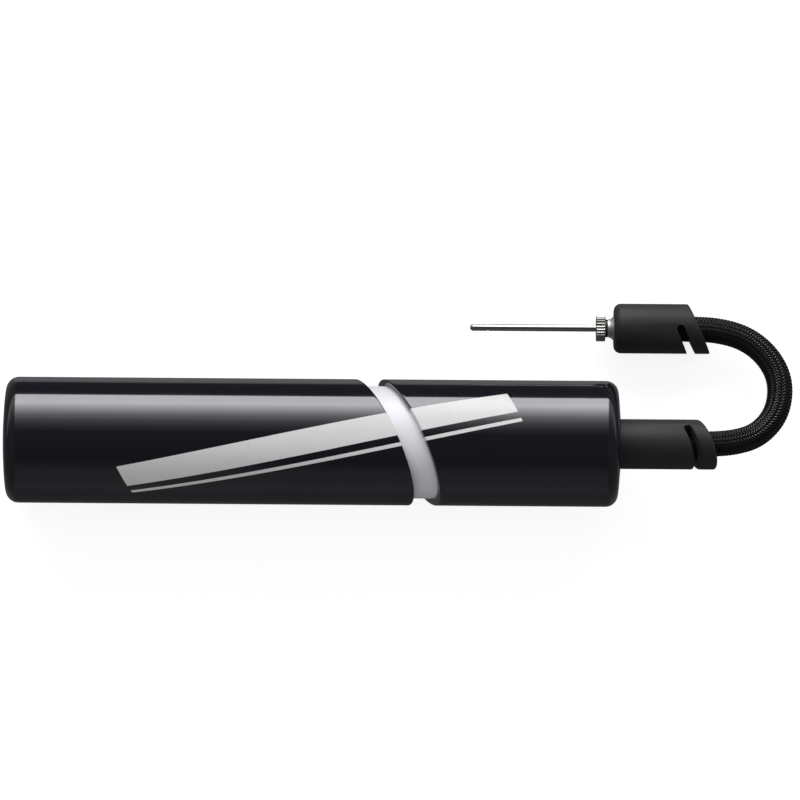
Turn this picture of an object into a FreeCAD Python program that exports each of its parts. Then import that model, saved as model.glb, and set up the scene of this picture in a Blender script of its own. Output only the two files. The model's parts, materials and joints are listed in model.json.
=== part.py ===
import FreeCAD, Part
import Sketcher

import os
import re
from math import cos, pi, tan

# Hand pump for sports balls, lying on a table.  Millimetres and degrees, +Z up.
# Two glossy shells sit on one white cylinder; the longer shell is the handle and
# slides back on it.  Both mouths are cut by parallel slanted planes, and the
# cylinder shows as a band between them.  A short braided hose with a rubber sleeve
# at each end carries the needle.
#
# The origin is on the table, under the middle of the barrel.  X runs along the
# barrel, from the closed end of the handle to the hose.

SIZES = {
    # overall
    "barrel_length": 171,
    "barrel_od": 35,
    "handle_length": 105.1,
    "band_gap": 7.2,
    "stroke": 75,
    # walls of the three tubes
    "shell_wall": 1.75,
    "cylinder_wall": 1.8,
    "slide_clearance": 0.2,
    "glue_clearance": 0.06,
    "fit_clearance": 0.1,
    "turning_clearance": 0.05,
    "rest_gap": 0.1,
    "cut_tilt": 27,
    "cut_turn": 55,
    "end_fillet": 3,
    "lip_set_back": 0.35,
    "corner_set_back": 0.95,
    "waste": 1,
    "rim_fillet": 0.4,
    # caps held behind the lip at each end
    "lip_thickness": 2.2,
    "lip_width": 3.15,
    "screw_recess": 0.6,
    "cap_flat_width": 0.8,
    "cap_flange": 1.8,
    "closing_bumper_thickness": 2.2,
    "closing_bumper_width": 3,
    "closing_bumper_overlap": 0.4,
    "front_cap_flange": 2,
    # key that stops the handle from turning
    "key_width": 3,
    "key_length": 10,
    "keyway_depth": 1,
    "key_clearance": 0.15,
    "key_end_room": 0.6,
    # rod and its gland
    "rod_radius": 4,
    "gland_flange": 3.7,
    "gland_plug": 7.5,
    "gland_web": 1.2,
    "boss_radius": 6.5,
    "boss_entry": 3.2,
    "boss_room": 0.8,
    "boss_side_room": 0.5,
    "bush_wall": 2,
    "air_hole_radius": 0.9,
    "air_hole_circle": 8.5,
    # piston
    "head_to_end": 35.5,
    "dead_gap": 0.8,
    "piston_length": 11,
    "piston_clearance": 0.15,
    "ring_section": 1.2,
    "ring_groove": 3.4,
    "piston_front": 3.8,
    "piston_web": 2.6,
    "piston_notch": 4,
    "guide_thickness": 3,
    "guide_clearance": 0.25,
    "guide_hole_radius": 2,
    "stroke_bumper_thickness": 2,
    "stroke_bumper_width": 3.4,
    # rod screws
    "screw_radius": 2,
    "screw_head_radius": 3.6,
    "screw_head_height": 2.6,
    "screw_length": 12,
    "screw_tip_room": 1,
    "screw_hex": 1.5,
    "screw_hex_depth": 1.6,
    # pins that hold the gland and the head in the cylinder
    "pin_head_radius": 1.9,
    "pin_radius": 1,
    "pin_length": 4,
    "pin_recess": 0.25,
    "pin_seat_gap": 0.02,
    # valve head
    "head_plug": 12,
    "head_flange": 3,
    "head_groove": 3,
    "head_groove_start": 4.5,
    "head_oring_section": 1.12,
    "head_oring_gap": 0.08,
    "head_groove_gap": 0.03,
    "pin_from_flange": 2.25,
    "neck_radius": 10.5,
    "inlet_radius": 1.25,
    "inlet_length": 2.5,
    "chamber_radius": 2.9,
    "ball_radius": 2.4,
    "ball_clearance": 0.03,
    "cage_from_face": 11,
    "cage_radius": 4,
    "cage_length": 2.5,
    "cage_hole": 1.2,
    "spring_radius": 1.6,
    "spring_wire": 0.25,
    "spring_turns": 4,
    "spring_gap": 0.02,
    "socket_from_face": 14,
    # hose swivel
    "spigot_radius": 5,
    "spigot_length": 14,
    "spigot_oring_section": 0.92,
    "spigot_oring_gap": 0.01,
    "spigot_groove": 2.6,
    "spigot_groove_start": 6,
    "swivel_flange_radius": 8.7,
    "swivel_flange": 1.8,
    "trap_ring_width": 3.5,
    "trap_room": 0.2,
    "trap_to_end": 4.2,
    # hose and what is crimped in it
    "hose_radius": 3.6,
    "braid_thickness": 0.3,
    "lining_gap": 0.1,
    "hose_bore": 2,
    "root_hose_out": 7.1,
    "holder_hose_in": 12.2,
    "air_bore": 1,
    "barb_radius": 1.95,
    "barb_root": 1.6,
    "barb_length": 6.6,
    "barb_land": 0.4,
    "ferrule_wall": 0.9,
    "ferrule_length": 4.8,
    "fitting_radius": 5,
    # rubber sleeves
    "sleeve_radius": 6.95,
    "sleeve_reach": 23.9,
    "sleeve_tilt": 24,
    "sleeve_bore_room": 0.15,
    "sleeve_flare": 0.9,
    "sleeve_flare_length": 4,
    "sleeve_hole_room": 0.25,
    "slot_from_end": 5.3,
    "slot_width": 2.4,
    "root_turn": 47,
    "holder_turn": 90,
    "holder_side": 32.2,
    "holder_start": 83.8,
    "holder_wall": 1.1,
    "holder_fillet": 2,
    # needle and the metal nose it screws into
    "nose_radius": 2.5,
    "nose_flare": 3.5,
    "nose_length": 1.7,
    "nose_straight": 0.9,
    "washer_thickness": 0.6,
    "stem_radius": 1.9,
    "stem_length": 7,
    "collar_radius": 3.65,
    "collar_length": 2.6,
    "knurl_count": 26,
    "knurl_size": 0.36,
    "needle_reach": 35.2,
    "needle_radius": 0.95,
    "needle_bore": 0.5,
    "needle_shoulder": 0.2,
    "needle_tip_flat": 0.04,
    "needle_seat": 2.5,
    "needle_eye": 0.45,
    "needle_eye_back": 5,
}

# Stations along X and radii, worked out from the sizes above.
PLACES = {
    "half": "barrel_length/2",
    "axis_height": "barrel_od/2",
    "shell_radius": "barrel_od/2",
    "shell_bore": "barrel_od/2 - shell_wall",
    "tube_radius": "shell_bore - slide_clearance",
    "tube_bore": "tube_radius - cylinder_wall",
    "front_bore": "tube_radius + glue_clearance",
    "plug_radius": "tube_bore - fit_clearance",
    "flange_radius": "tube_radius - turning_clearance",
    "lip_opening": "shell_bore - lip_width",
    "bumper_radius": "lip_opening + closing_bumper_overlap",
    "disc_radius": "lip_opening - fit_clearance",
    "handle_cut": "handle_length - half",
    "front_cut": "handle_cut + band_gap",
    "slant_rise": "shell_radius*tan(cut_tilt)",
    # closed end of the handle
    "handle_lip": "lip_thickness - half",
    "screw_head_place": "screw_recess - half",
    "handle_cap_inner": "handle_lip + cap_flange",
    "bumper_front": "handle_cap_inner + closing_bumper_thickness",
    "gland_back": "bumper_front + rest_gap",
    "tube_start": "gland_back + gland_flange",
    "gland_front": "tube_start + gland_plug",
    "boss_end": "gland_back + boss_entry",
    "boss_pocket": "boss_end + boss_room",
    "bush_start": "boss_pocket + gland_web",
    "bush_radius": "rod_radius + turning_clearance + bush_wall",
    "handle_web": "screw_head_place + screw_head_height",
    "rod_start": "handle_web + piston_web",
    "keyway_end": "handle_cut - slant_rise - rest_gap",
    "keyway_floor": "tube_radius - keyway_depth",
    "key_root": "shell_bore + shell_wall/3",
    # piston end
    "head_face": "half - head_to_end",
    "piston_face": "head_face - dead_gap",
    "piston_back": "piston_face - piston_length",
    "groove_front": "piston_face - piston_front",
    "groove_back": "groove_front - ring_groove",
    "rod_end": "piston_face - screw_head_height - piston_web",
    "piston_radius": "tube_bore - piston_clearance",
    "ring_radius": "tube_bore - turning_clearance - ring_section",
    "ring_floor": "ring_radius - ring_section - fit_clearance",
    "stop_back": "gland_front + stroke + rest_gap",
    "guide_back": "stop_back + stroke_bumper_thickness",
    "guide_front": "guide_back + guide_thickness",
    "guide_radius": "tube_bore - guide_clearance",
    # valve head
    "tube_end": "head_face + head_plug",
    "head_flange_end": "tube_end + head_flange",
    "head_groove_back": "head_face + head_groove_start",
    "head_groove_front": "head_groove_back + head_groove",
    "head_oring_radius": "tube_bore - head_oring_gap - head_oring_section",
    "head_groove_floor": "head_oring_radius - head_oring_section - head_groove_gap",
    "cone_start": "head_face + inlet_length",
    "cone_end": "cone_start + chamber_radius - inlet_radius",
    "ball_place": "cone_start - inlet_radius + ball_radius*sqrt(2) + ball_clearance",
    "cage_start": "head_face + cage_from_face",
    "cage_end": "cage_start + cage_length",
    "socket_floor": "head_face + socket_from_face",
    "spring_rise": "sqrt((ball_radius + spring_wire)^2 - spring_radius^2)",
    "spring_start": "ball_place + spring_rise + spring_gap",
    "spring_end": "cage_start - spring_wire - spring_gap",
    "head_pin": "tube_end - pin_from_flange",
    "gland_pin": "(tube_start + gland_front)/2",
    "pin_seat": "plug_radius + pin_seat_gap",
    "pin_top": "tube_radius - pin_recess",
    # hose swivel behind the front cap
    "front_lip": "half - lip_thickness",
    "front_cap_inner": "front_lip - front_cap_flange",
    "trap_end": "half - trap_to_end",
    "swivel_floor": "trap_end - swivel_flange - 2*rest_gap",
    "trap_pocket": "swivel_flange_radius + trap_room",
    "trap_radius": "trap_pocket + trap_ring_width",
    "swivel_flange_start": "swivel_floor + rest_gap",
    "swivel_flange_end": "swivel_flange_start + swivel_flange",
    "spigot_start": "swivel_flange_start - spigot_length",
    "spigot_skin": "spigot_radius - turning_clearance",
    "spigot_groove_back": "spigot_start + spigot_groove_start",
    "spigot_groove_front": "spigot_groove_back + spigot_groove",
    "spigot_oring_radius": "spigot_skin - spigot_oring_gap - spigot_oring_section",
    "spigot_groove_floor": "spigot_oring_radius - spigot_oring_section - turning_clearance",
    "sleeve_hole": "sleeve_radius + sleeve_hole_room",
    "cap_flat_radius": "sleeve_hole + cap_flat_width",
    # sleeves and ferrules
    "root_sleeve_start": "swivel_flange_end + rest_gap",
    "root_sleeve_end": "half + sleeve_reach",
    "root_hose_start": "half + root_hose_out",
    "holder_sleeve_end": "holder_start + sleeve_reach",
    "holder_hose_end": "holder_start + holder_hose_in",
    "holder_body_start": "holder_start + holder_wall",
    "sleeve_pocket": "fitting_radius + turning_clearance",
    "sleeve_bore": "hose_radius + sleeve_bore_room",
    "ferrule_bore": "hose_radius + turning_clearance",
    "braid_bore": "hose_radius - braid_thickness",
    "lining_radius": "braid_bore - lining_gap",
    # needle
    "nose_start": "holder_start - nose_length",
    "washer_start": "nose_start - washer_thickness",
    "stem_socket": "stem_radius + turning_clearance",
    "collar_start": "washer_start - collar_length",
    "needle_tip": "collar_start - needle_reach",
    "needle_spigot": "needle_radius - needle_shoulder",
}

# Where each axis lies: place of its line above the table, and the turn about it.
BARREL = ("0", "axis_height", "cut_turn")
ROOT = ("0", "axis_height", "root_turn")
HOLDER = ("holder_side", "sleeve_radius", "holder_turn")

# Corners of the hose's route, from the root fitting round to the needle holder.
HOSE_ROUTE = [
    (92.6, 0.0, 17.5),
    (101.0, 0.0, 17.5),
    (109.5, 0.1, 17.45),
    (117.3, 0.55, 17.1),
    (124.2, 2.8, 16.2),
    (129.4, 9.0, 14.7),
    (130.4, 17.6, 12.7),
    (127.0, 24.6, 10.6),
    (121.0, 29.6, 8.8),
    (113.2, 31.9, 7.5),
    (104.5, 32.2, 6.95),
    (96.0, 32.2, 6.95),
]
ARC_SHARE = 0.45

doc = FreeCAD.newDocument("BallPump")
sheet = doc.addObject("Spreadsheet::Sheet", "Sizes")
NODES = []


def fill_sheet():
    for row, (name, value) in enumerate(SIZES.items(), start=1):
        sheet.set(f"A{row}", name)
        sheet.set(f"B{row}", str(value))
        sheet.setAlias(f"B{row}", name)
    doc.recompute()


def formula(text):
    """Write a formula's names out as cells of the sheet."""

    def written_out(match):
        name = match.group(0)
        if name in SIZES:
            return "Sizes." + name
        if name in PLACES:
            return "(" + formula(PLACES[name]) + ")"
        return name

    return re.sub(r"[a-z][a-z_]+", written_out, text)


def number(text):
    return float(sheet.evalExpression(formula(text)))


def origin_part(body, role):
    return [part for part in body.Origin.OriginFeatures if part.Role == role][0]


def add_node(obj):
    NODES.append(obj)
    return obj


def new_body(label, seat):
    """An empty body whose own X axis lies on one of the pump's axes."""
    body = doc.addObject("PartDesign::Body", label)
    body.Label = label
    side, height, turn = seat
    body.Placement = FreeCAD.Placement(
        FreeCAD.Vector(0, 0, 0), FreeCAD.Rotation(FreeCAD.Vector(1, 0, 0), 10)
    )
    body.setExpression("Placement.Base.y", formula(side))
    body.setExpression("Placement.Base.z", formula(height))
    body.setExpression("Placement.Rotation.Angle", formula(turn))
    return add_node(body)


def sketch_on(body, name, plane, offset="0"):
    sketch = body.newObject("Sketcher::SketchObject", name)
    sketch.AttachmentSupport = [(origin_part(body, plane), "")]
    sketch.MapMode = "FlatFace"
    sketch.setExpression("AttachmentOffset.Base.z", formula(offset))
    return sketch


def bind_point(sketch, index, corner, place, name):
    """Tie one point of the sketch to a pair of formulas."""
    for kind, text in zip(("DistanceX", "DistanceY"), place):
        rule = sketch.addConstraint(
            Sketcher.Constraint(kind, -1, 1, index, corner, number(text))
        )
        title = f"{name}_{kind}"
        sketch.renameConstraint(rule, title)
        sketch.setExpression("Constraints." + title, formula(text))


def outline(body, name, plane, corners, offset="0"):
    """A closed outline of straight edges through pairs of formulas."""
    sketch = sketch_on(body, name, plane, offset)
    spots = [FreeCAD.Vector(number(a), number(b), 0) for a, b in corners]
    count = len(spots)
    for i in range(count):
        sketch.addGeometry(Part.LineSegment(spots[i], spots[(i + 1) % count]))
    for i in range(count):
        sketch.addConstraint(
            Sketcher.Constraint("Coincident", i, 2, (i + 1) % count, 1)
        )
    for i, corner in enumerate(corners):
        bind_point(sketch, i, 1, corner, f"corner_{i}")
    return sketch


def circle(body, name, plane, centre, radius, offset="0"):
    sketch = sketch_on(body, name, plane, offset)
    middle = FreeCAD.Vector(number(centre[0]), number(centre[1]), 0)
    sketch.addGeometry(
        Part.Circle(middle, FreeCAD.Vector(0, 0, 1), number(radius))
    )
    bind_point(sketch, 0, 3, centre, "middle")
    rule = sketch.addConstraint(Sketcher.Constraint("Radius", 0, number(radius)))
    sketch.renameConstraint(rule, "size")
    sketch.setExpression("Constraints.size", formula(radius))
    return sketch


def turned(label, seat, corners):
    """A body turned on the lathe: (station, radius) corners spun about its X axis."""
    body = new_body(label, seat)
    profile = outline(body, "section", "XZ_Plane", corners)
    spin = body.newObject("PartDesign::Revolution", "turning")
    spin.Profile = profile
    spin.ReferenceAxis = (profile, ["H_Axis"])
    spin.Angle = 360
    doc.recompute()
    return body


def checked_change(body, make, grows):
    """Run one step on a body and make sure that it really added or cut."""
    before = body.Shape.Volume
    feature = make()
    body.Tip = feature
    doc.recompute()
    change = body.Shape.Volume - before
    if change == 0 or (change > 0) != grows:
        raise RuntimeError(f"{body.Label}: {feature.Name} changed nothing")
    return feature


def pocket(body, sketch, length=None, both_ways=True, reverse=False):
    def make():
        cut = body.newObject("PartDesign::Pocket", sketch.Name + "_cut")
        cut.Profile = sketch
        if length is None:
            cut.Type = "ThroughAll"
        else:
            cut.setExpression("Length", formula(length))
        cut.Midplane = both_ways
        cut.Reversed = reverse
        return cut

    return checked_change(body, make, grows=False)


def pad(body, sketch, length, both_ways=False, reverse=False):
    def make():
        block = body.newObject("PartDesign::Pad", sketch.Name + "_pad")
        block.Profile = sketch
        block.setExpression("Length", formula(length))
        block.Midplane = both_ways
        block.Reversed = reverse
        return block

    if body.Tip is None:
        block = make()
        doc.recompute()
        return block
    return checked_change(body, make, grows=True)


def around(body, features, count, grows=False):
    """Repeat features evenly about the body's X axis."""

    def make():
        ring = body.newObject("PartDesign::PolarPattern", "around")
        ring.Originals = features
        ring.Axis = (origin_part(body, "X_Axis"), [""])
        ring.Angle = 360
        ring.setExpression("Occurrences", formula(count))
        return ring

    return checked_change(body, make, grows)


def fillet(body, radius, wanted):
    """Round the edges that the test picks out."""
    sharp = body.Tip
    edges = [
        f"Edge{i}" for i, edge in enumerate(sharp.Shape.Edges, 1) if wanted(edge)
    ]

    def make():
        round_over = body.newObject("PartDesign::Fillet", "rounding")
        round_over.Base = (sharp, edges)
        round_over.setExpression("Radius", formula(radius))
        return round_over

    return checked_change(body, make, grows=False)


def is_ring(edge, station, radius):
    if not isinstance(edge.Curve, Part.Circle):
        return False
    near = abs(edge.Curve.Center.x - number(station)) < 1e-4
    return near and abs(edge.Curve.Radius - number(radius)) < 1e-4


def is_slanted_rim(edge, radius):
    if not isinstance(edge.Curve, Part.Ellipse):
        return False
    return abs(edge.Curve.MinorRadius - number(radius)) < 1e-3


def slant(body, name, cut_at, tilt, radius, beyond):
    """Cut the end off along a plane that leans with +Z; beyond is the waste side."""
    side = f"({radius} + waste)"
    rise = f"{side}*tan({tilt})"
    waste = outline(
        body,
        name,
        "XZ_Plane",
        [
            (f"{cut_at} - {rise}", f"-{side}"),
            (f"{cut_at} + {rise}", side),
            (beyond, side),
            (beyond, f"-{side}"),
        ],
    )
    pocket(body, waste)


def lying_ring(label, station, radius, section):
    """A round-section ring on the barrel's axis."""
    ring = doc.addObject("Part::Torus", label)
    ring.Label = label
    ring.setExpression("Radius1", formula(radius))
    ring.setExpression("Radius2", formula(section))
    ring.Placement = FreeCAD.Placement(
        FreeCAD.Vector(0, 0, 0), FreeCAD.Rotation(FreeCAD.Vector(0, 1, 0), 90)
    )
    ring.setExpression("Placement.Base.x", formula(station))
    ring.setExpression("Placement.Base.z", formula("axis_height"))
    return add_node(ring)


# ---------------------------------------------------------------- shells


def handle_shell():
    long_side = "handle_cut + slant_rise + waste"
    body = turned(
        "handle_shell",
        BARREL,
        [
            ("lip_set_back - half", "lip_opening"),
            ("corner_set_back - half", "shell_radius"),
            (long_side, "shell_radius"),
            (long_side, "shell_bore"),
            ("handle_lip", "shell_bore"),
            ("handle_lip", "lip_opening"),
        ],
    )
    slant(body, "mouth", "handle_cut", "cut_tilt", "shell_radius", long_side + " + waste")
    fillet(body, "end_fillet", lambda e: is_ring(e, "corner_set_back - half", "shell_radius"))
    fillet(body, "rim_fillet", lambda e: is_slanted_rim(e, "shell_radius"))
    key_front = "keyway_end - key_end_room"
    key = outline(
        body,
        "key",
        "XZ_Plane",
        [
            (f"{key_front} - key_length", "-key_root"),
            (key_front, "-key_root"),
            (key_front, "-keyway_floor - key_clearance"),
            (f"{key_front} - key_length", "-keyway_floor - key_clearance"),
        ],
    )
    pad(body, key, "key_width", both_ways=True)


def front_shell():
    short_side = "front_cut - slant_rise - waste"
    body = turned(
        "front_shell",
        BARREL,
        [
            (short_side, "front_bore"),
            (short_side, "shell_radius"),
            ("half - corner_set_back", "shell_radius"),
            ("half - lip_set_back", "lip_opening"),
            ("front_lip", "lip_opening"),
            ("front_lip", "front_bore"),
        ],
    )
    slant(body, "mouth", "front_cut", "cut_tilt", "shell_radius", short_side + " - waste")
    fillet(body, "end_fillet", lambda e: is_ring(e, "half - corner_set_back", "shell_radius"))
    fillet(body, "rim_fillet", lambda e: is_slanted_rim(e, "shell_radius"))


def keyway(body, start, end):
    """The straight groove that the handle's key runs in."""
    groove = outline(
        body,
        "keyway",
        "XZ_Plane",
        [
            (start, "-keyway_floor"),
            (end, "-keyway_floor"),
            (end, "-shell_radius"),
            (start, "-shell_radius"),
        ],
    )
    pocket(body, groove, "key_width + 2*key_clearance")


def pin_holes(body, name, station, radius):
    """Three radial holes, clear of the keyway."""
    hole = circle(body, name, "XY_Plane", (station, "0"), radius)
    drilled = pocket(body, hole, "shell_radius", both_ways=False, reverse=True)
    around(body, [drilled], "3")


def cylinder():
    body = turned(
        "cylinder",
        BARREL,
        [
            ("tube_start", "tube_bore"),
            ("tube_start", "tube_radius"),
            ("tube_end", "tube_radius"),
            ("tube_end", "tube_bore"),
        ],
    )
    keyway(body, "tube_start - waste", "keyway_end")
    pin_holes(body, "gland_pin_hole", "gland_pin", "pin_head_radius + fit_clearance")
    pin_holes(body, "head_pin_hole", "head_pin", "pin_head_radius + fit_clearance")


# ---------------------------------------------------------------- handle end


def handle_cap():
    turned(
        "handle_cap",
        BARREL,
        [
            ("-half", "screw_head_radius + fit_clearance"),
            ("-half", "cap_flat_radius"),
            ("lip_set_back - half", "disc_radius"),
            ("handle_lip", "disc_radius"),
            ("handle_lip", "shell_bore - fit_clearance"),
            ("handle_cap_inner", "shell_bore - fit_clearance"),
            ("handle_cap_inner", "boss_radius"),
            ("boss_end", "boss_radius"),
            ("boss_end", "rod_radius + turning_clearance"),
            ("rod_start", "rod_radius + turning_clearance"),
            ("rod_start", "screw_radius + fit_clearance"),
            ("handle_web", "screw_radius + fit_clearance"),
            ("handle_web", "screw_head_radius + fit_clearance"),
        ],
    )


def closing_bumper():
    inner = "bumper_radius - closing_bumper_width"
    turned(
        "closing_bumper",
        BARREL,
        [
            ("handle_cap_inner", inner),
            ("handle_cap_inner", "bumper_radius"),
            ("bumper_front", "bumper_radius"),
            ("bumper_front", inner),
        ],
    )


def rod_gland():
    body = turned(
        "rod_gland",
        BARREL,
        [
            ("gland_back", "boss_radius + boss_side_room"),
            ("gland_back", "flange_radius"),
            ("tube_start", "flange_radius"),
            ("tube_start", "plug_radius"),
            ("gland_front", "plug_radius"),
            ("gland_front", "bush_radius + turning_clearance"),
            ("bush_start", "bush_radius + turning_clearance"),
            ("bush_start", "rod_radius + 3*fit_clearance"),
            ("boss_pocket", "rod_radius + 3*fit_clearance"),
            ("boss_pocket", "boss_radius + boss_side_room"),
        ],
    )
    keyway(body, "gland_back - waste", "tube_start")
    pin_holes(body, "pin_hole", "gland_pin", "pin_radius + turning_clearance")
    vent = circle(body, "vent", "YZ_Plane", ("0", "air_hole_circle"), "air_hole_radius")
    around(body, [pocket(body, vent)], "6")


def rod_bush():
    turned(
        "rod_bush",
        BARREL,
        [
            ("bush_start", "rod_radius + turning_clearance"),
            ("bush_start", "bush_radius"),
            ("gland_front", "bush_radius"),
            ("gland_front", "rod_radius + turning_clearance"),
        ],
    )


# ---------------------------------------------------------------- rod and piston


def piston_rod():
    tapped = "screw_radius + turning_clearance"
    turned(
        "piston_rod",
        BARREL,
        [
            ("rod_start + screw_length", "0"),
            ("rod_start + screw_length", tapped),
            ("rod_start", tapped),
            ("rod_start", "rod_radius"),
            ("rod_end", "rod_radius"),
            ("rod_end", tapped),
            ("rod_end - screw_length", tapped),
            ("rod_end - screw_length", "0"),
        ],
    )


def rod_screw(label, head, shank, way):
    """Socket-head screw; way is + or -, the side of its head that its shank points to."""
    tip = f"{shank} {way} (screw_length - screw_tip_room)"
    body = turned(
        label,
        BARREL,
        [
            (head, "0"),
            (head, "screw_head_radius"),
            (shank, "screw_head_radius"),
            (shank, "screw_radius"),
            (tip, "screw_radius"),
            (tip, "0"),
        ],
    )
    flat = "screw_hex/cos(30)"
    corners = [
        (f"{flat}*cos({60 * i})", f"{flat}*sin({60 * i})") for i in range(6)
    ]
    key = outline(body, "hex_key", "YZ_Plane", corners, offset=head)
    depth = "screw_hex_depth"
    pocket(body, key, depth, both_ways=False, reverse=(way == "+"))


def piston_body():
    body = turned(
        "piston_body",
        BARREL,
        [
            ("piston_back", "rod_radius + turning_clearance"),
            ("piston_back", "piston_radius"),
            ("groove_back", "piston_radius"),
            ("groove_back", "ring_floor"),
            ("groove_front", "ring_floor"),
            ("groove_front", "piston_radius"),
            ("piston_face", "piston_radius"),
            ("piston_face", "screw_head_radius + fit_clearance"),
            ("rod_end + piston_web", "screw_head_radius + fit_clearance"),
            ("rod_end + piston_web", "screw_radius + fit_clearance"),
            ("rod_end", "screw_radius + fit_clearance"),
            ("rod_end", "rod_radius + turning_clearance"),
        ],
    )
    notch = outline(
        body,
        "air_notch",
        "YZ_Plane",
        [
            ("-piston_notch/2", "ring_floor"),
            ("piston_notch/2", "ring_floor"),
            ("piston_notch/2", "tube_bore"),
            ("-piston_notch/2", "tube_bore"),
        ],
        offset="piston_face",
    )
    sawn = pocket(body, notch, "piston_front", both_ways=False)
    around(body, [sawn], "4")


def rod_guide():
    body = turned(
        "rod_guide",
        BARREL,
        [
            ("guide_back", "rod_radius + turning_clearance"),
            ("guide_back", "guide_radius"),
            ("guide_front", "guide_radius"),
            ("guide_front", "rod_radius + turning_clearance"),
        ],
    )
    middle = "(rod_radius + guide_radius)/2"
    vent = circle(body, "vent", "YZ_Plane", ("0", middle), "guide_hole_radius")
    around(body, [pocket(body, vent)], "6")


def stroke_bumper():
    outer = "rod_radius + turning_clearance + stroke_bumper_width"
    turned(
        "stroke_bumper",
        BARREL,
        [
            ("stop_back", "rod_radius + turning_clearance"),
            ("stop_back", outer),
            ("guide_back", outer),
            ("guide_back", "rod_radius + turning_clearance"),
        ],
    )


# ---------------------------------------------------------------- valve head


def valve_head():
    body = turned(
        "valve_head",
        BARREL,
        [
            ("head_face", "inlet_radius"),
            ("head_face", "plug_radius"),
            ("head_groove_back", "plug_radius"),
            ("head_groove_back", "head_groove_floor"),
            ("head_groove_front", "head_groove_floor"),
            ("head_groove_front", "plug_radius"),
            ("tube_end", "plug_radius"),
            ("tube_end", "flange_radius"),
            ("head_flange_end", "flange_radius"),
            ("head_flange_end", "neck_radius"),
            ("swivel_floor - rest_gap", "neck_radius"),
            ("swivel_floor - rest_gap", "trap_radius"),
            ("trap_end", "trap_radius"),
            ("trap_end", "trap_pocket"),
            ("swivel_floor", "trap_pocket"),
            ("swivel_floor", "spigot_radius"),
            ("socket_floor", "spigot_radius"),
            ("socket_floor", "cage_radius"),
            ("cage_start", "cage_radius"),
            ("cage_start", "chamber_radius"),
            ("cone_end", "chamber_radius"),
            ("cone_start", "inlet_radius"),
        ],
    )
    pin_holes(body, "pin_hole", "head_pin", "pin_radius + turning_clearance")


def valve_cage():
    turned(
        "valve_cage",
        BARREL,
        [
            ("cage_start", "cage_hole"),
            ("cage_start", "cage_radius - turning_clearance"),
            ("cage_end", "cage_radius - turning_clearance"),
            ("cage_end", "cage_hole"),
        ],
    )


def valve_ball():
    ball = doc.addObject("Part::Sphere", "valve_ball")
    ball.Label = "valve_ball"
    ball.setExpression("Radius", formula("ball_radius"))
    ball.setExpression("Placement.Base.x", formula("ball_place"))
    ball.setExpression("Placement.Base.z", formula("axis_height"))
    add_node(ball)


def valve_spring():
    body = new_body("valve_spring", BARREL)
    wire = circle(body, "wire", "XZ_Plane", ("spring_start", "spring_radius"), "spring_wire")
    coil = body.newObject("PartDesign::AdditiveHelix", "coil")
    coil.Profile = wire
    coil.ReferenceAxis = (wire, ["H_Axis"])
    coil.Mode = "height-turns-angle"
    coil.setExpression("Height", formula("spring_end - spring_start"))
    coil.setExpression("Turns", formula("spring_turns"))
    doc.recompute()


def retaining_pins(label, station):
    """Three flush screws through the cylinder into the plug inside it."""
    body = new_body(label, BARREL)
    body.AllowCompound = True
    head = circle(body, "head", "XY_Plane", (station, "0"), "pin_head_radius", "pin_seat")
    top = pad(body, head, "pin_top - pin_seat")
    shank = circle(body, "shank", "XY_Plane", (station, "0"), "pin_radius", "pin_seat")
    stem = pad(body, shank, "pin_length", reverse=True)
    around(body, [top, stem], "3", grows=True)


def front_cap():
    turned(
        "front_cap",
        BARREL,
        [
            ("front_cap_inner", "sleeve_hole"),
            ("front_cap_inner", "front_bore - fit_clearance"),
            ("front_lip", "front_bore - fit_clearance"),
            ("front_lip", "disc_radius"),
            ("half - lip_set_back", "disc_radius"),
            ("half", "cap_flat_radius"),
            ("half", "sleeve_hole"),
        ],
    )


# ---------------------------------------------------------------- hose


def barb(start):
    """Corners of a hose barb: three saw teeth, then the air bore back to its start."""
    tooth = "barb_length/3"
    corners = [(start, "barb_root")]
    for i in range(3):
        back = f"{start} + {tooth}*{i} + barb_land"
        corners.append((back, "barb_root"))
        corners.append((back, "barb_radius"))
        corners.append((f"{start} + {tooth}*{i + 1}", "barb_root"))
    corners.append((f"{start} + barb_length", "air_bore"))
    return corners


def root_fitting():
    turned(
        "root_fitting",
        ROOT,
        [
            ("spigot_start", "air_bore"),
            ("spigot_start", "spigot_skin"),
            ("spigot_groove_back", "spigot_skin"),
            ("spigot_groove_back", "spigot_groove_floor"),
            ("spigot_groove_front", "spigot_groove_floor"),
            ("spigot_groove_front", "spigot_skin"),
            ("swivel_flange_start", "spigot_skin"),
            ("swivel_flange_start", "swivel_flange_radius"),
            ("swivel_flange_end", "swivel_flange_radius"),
            ("swivel_flange_end", "fitting_radius"),
            ("root_hose_start - rest_gap", "fitting_radius"),
        ]
        + barb("root_hose_start - rest_gap"),
    )


def ferrule(label, seat, start, way):
    finish = f"{start} {way} ferrule_length"
    turned(
        label,
        seat,
        [
            (start, "ferrule_bore"),
            (start, "ferrule_bore + ferrule_wall"),
            (finish, "ferrule_bore + ferrule_wall"),
            (finish, "ferrule_bore"),
        ],
    )


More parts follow.
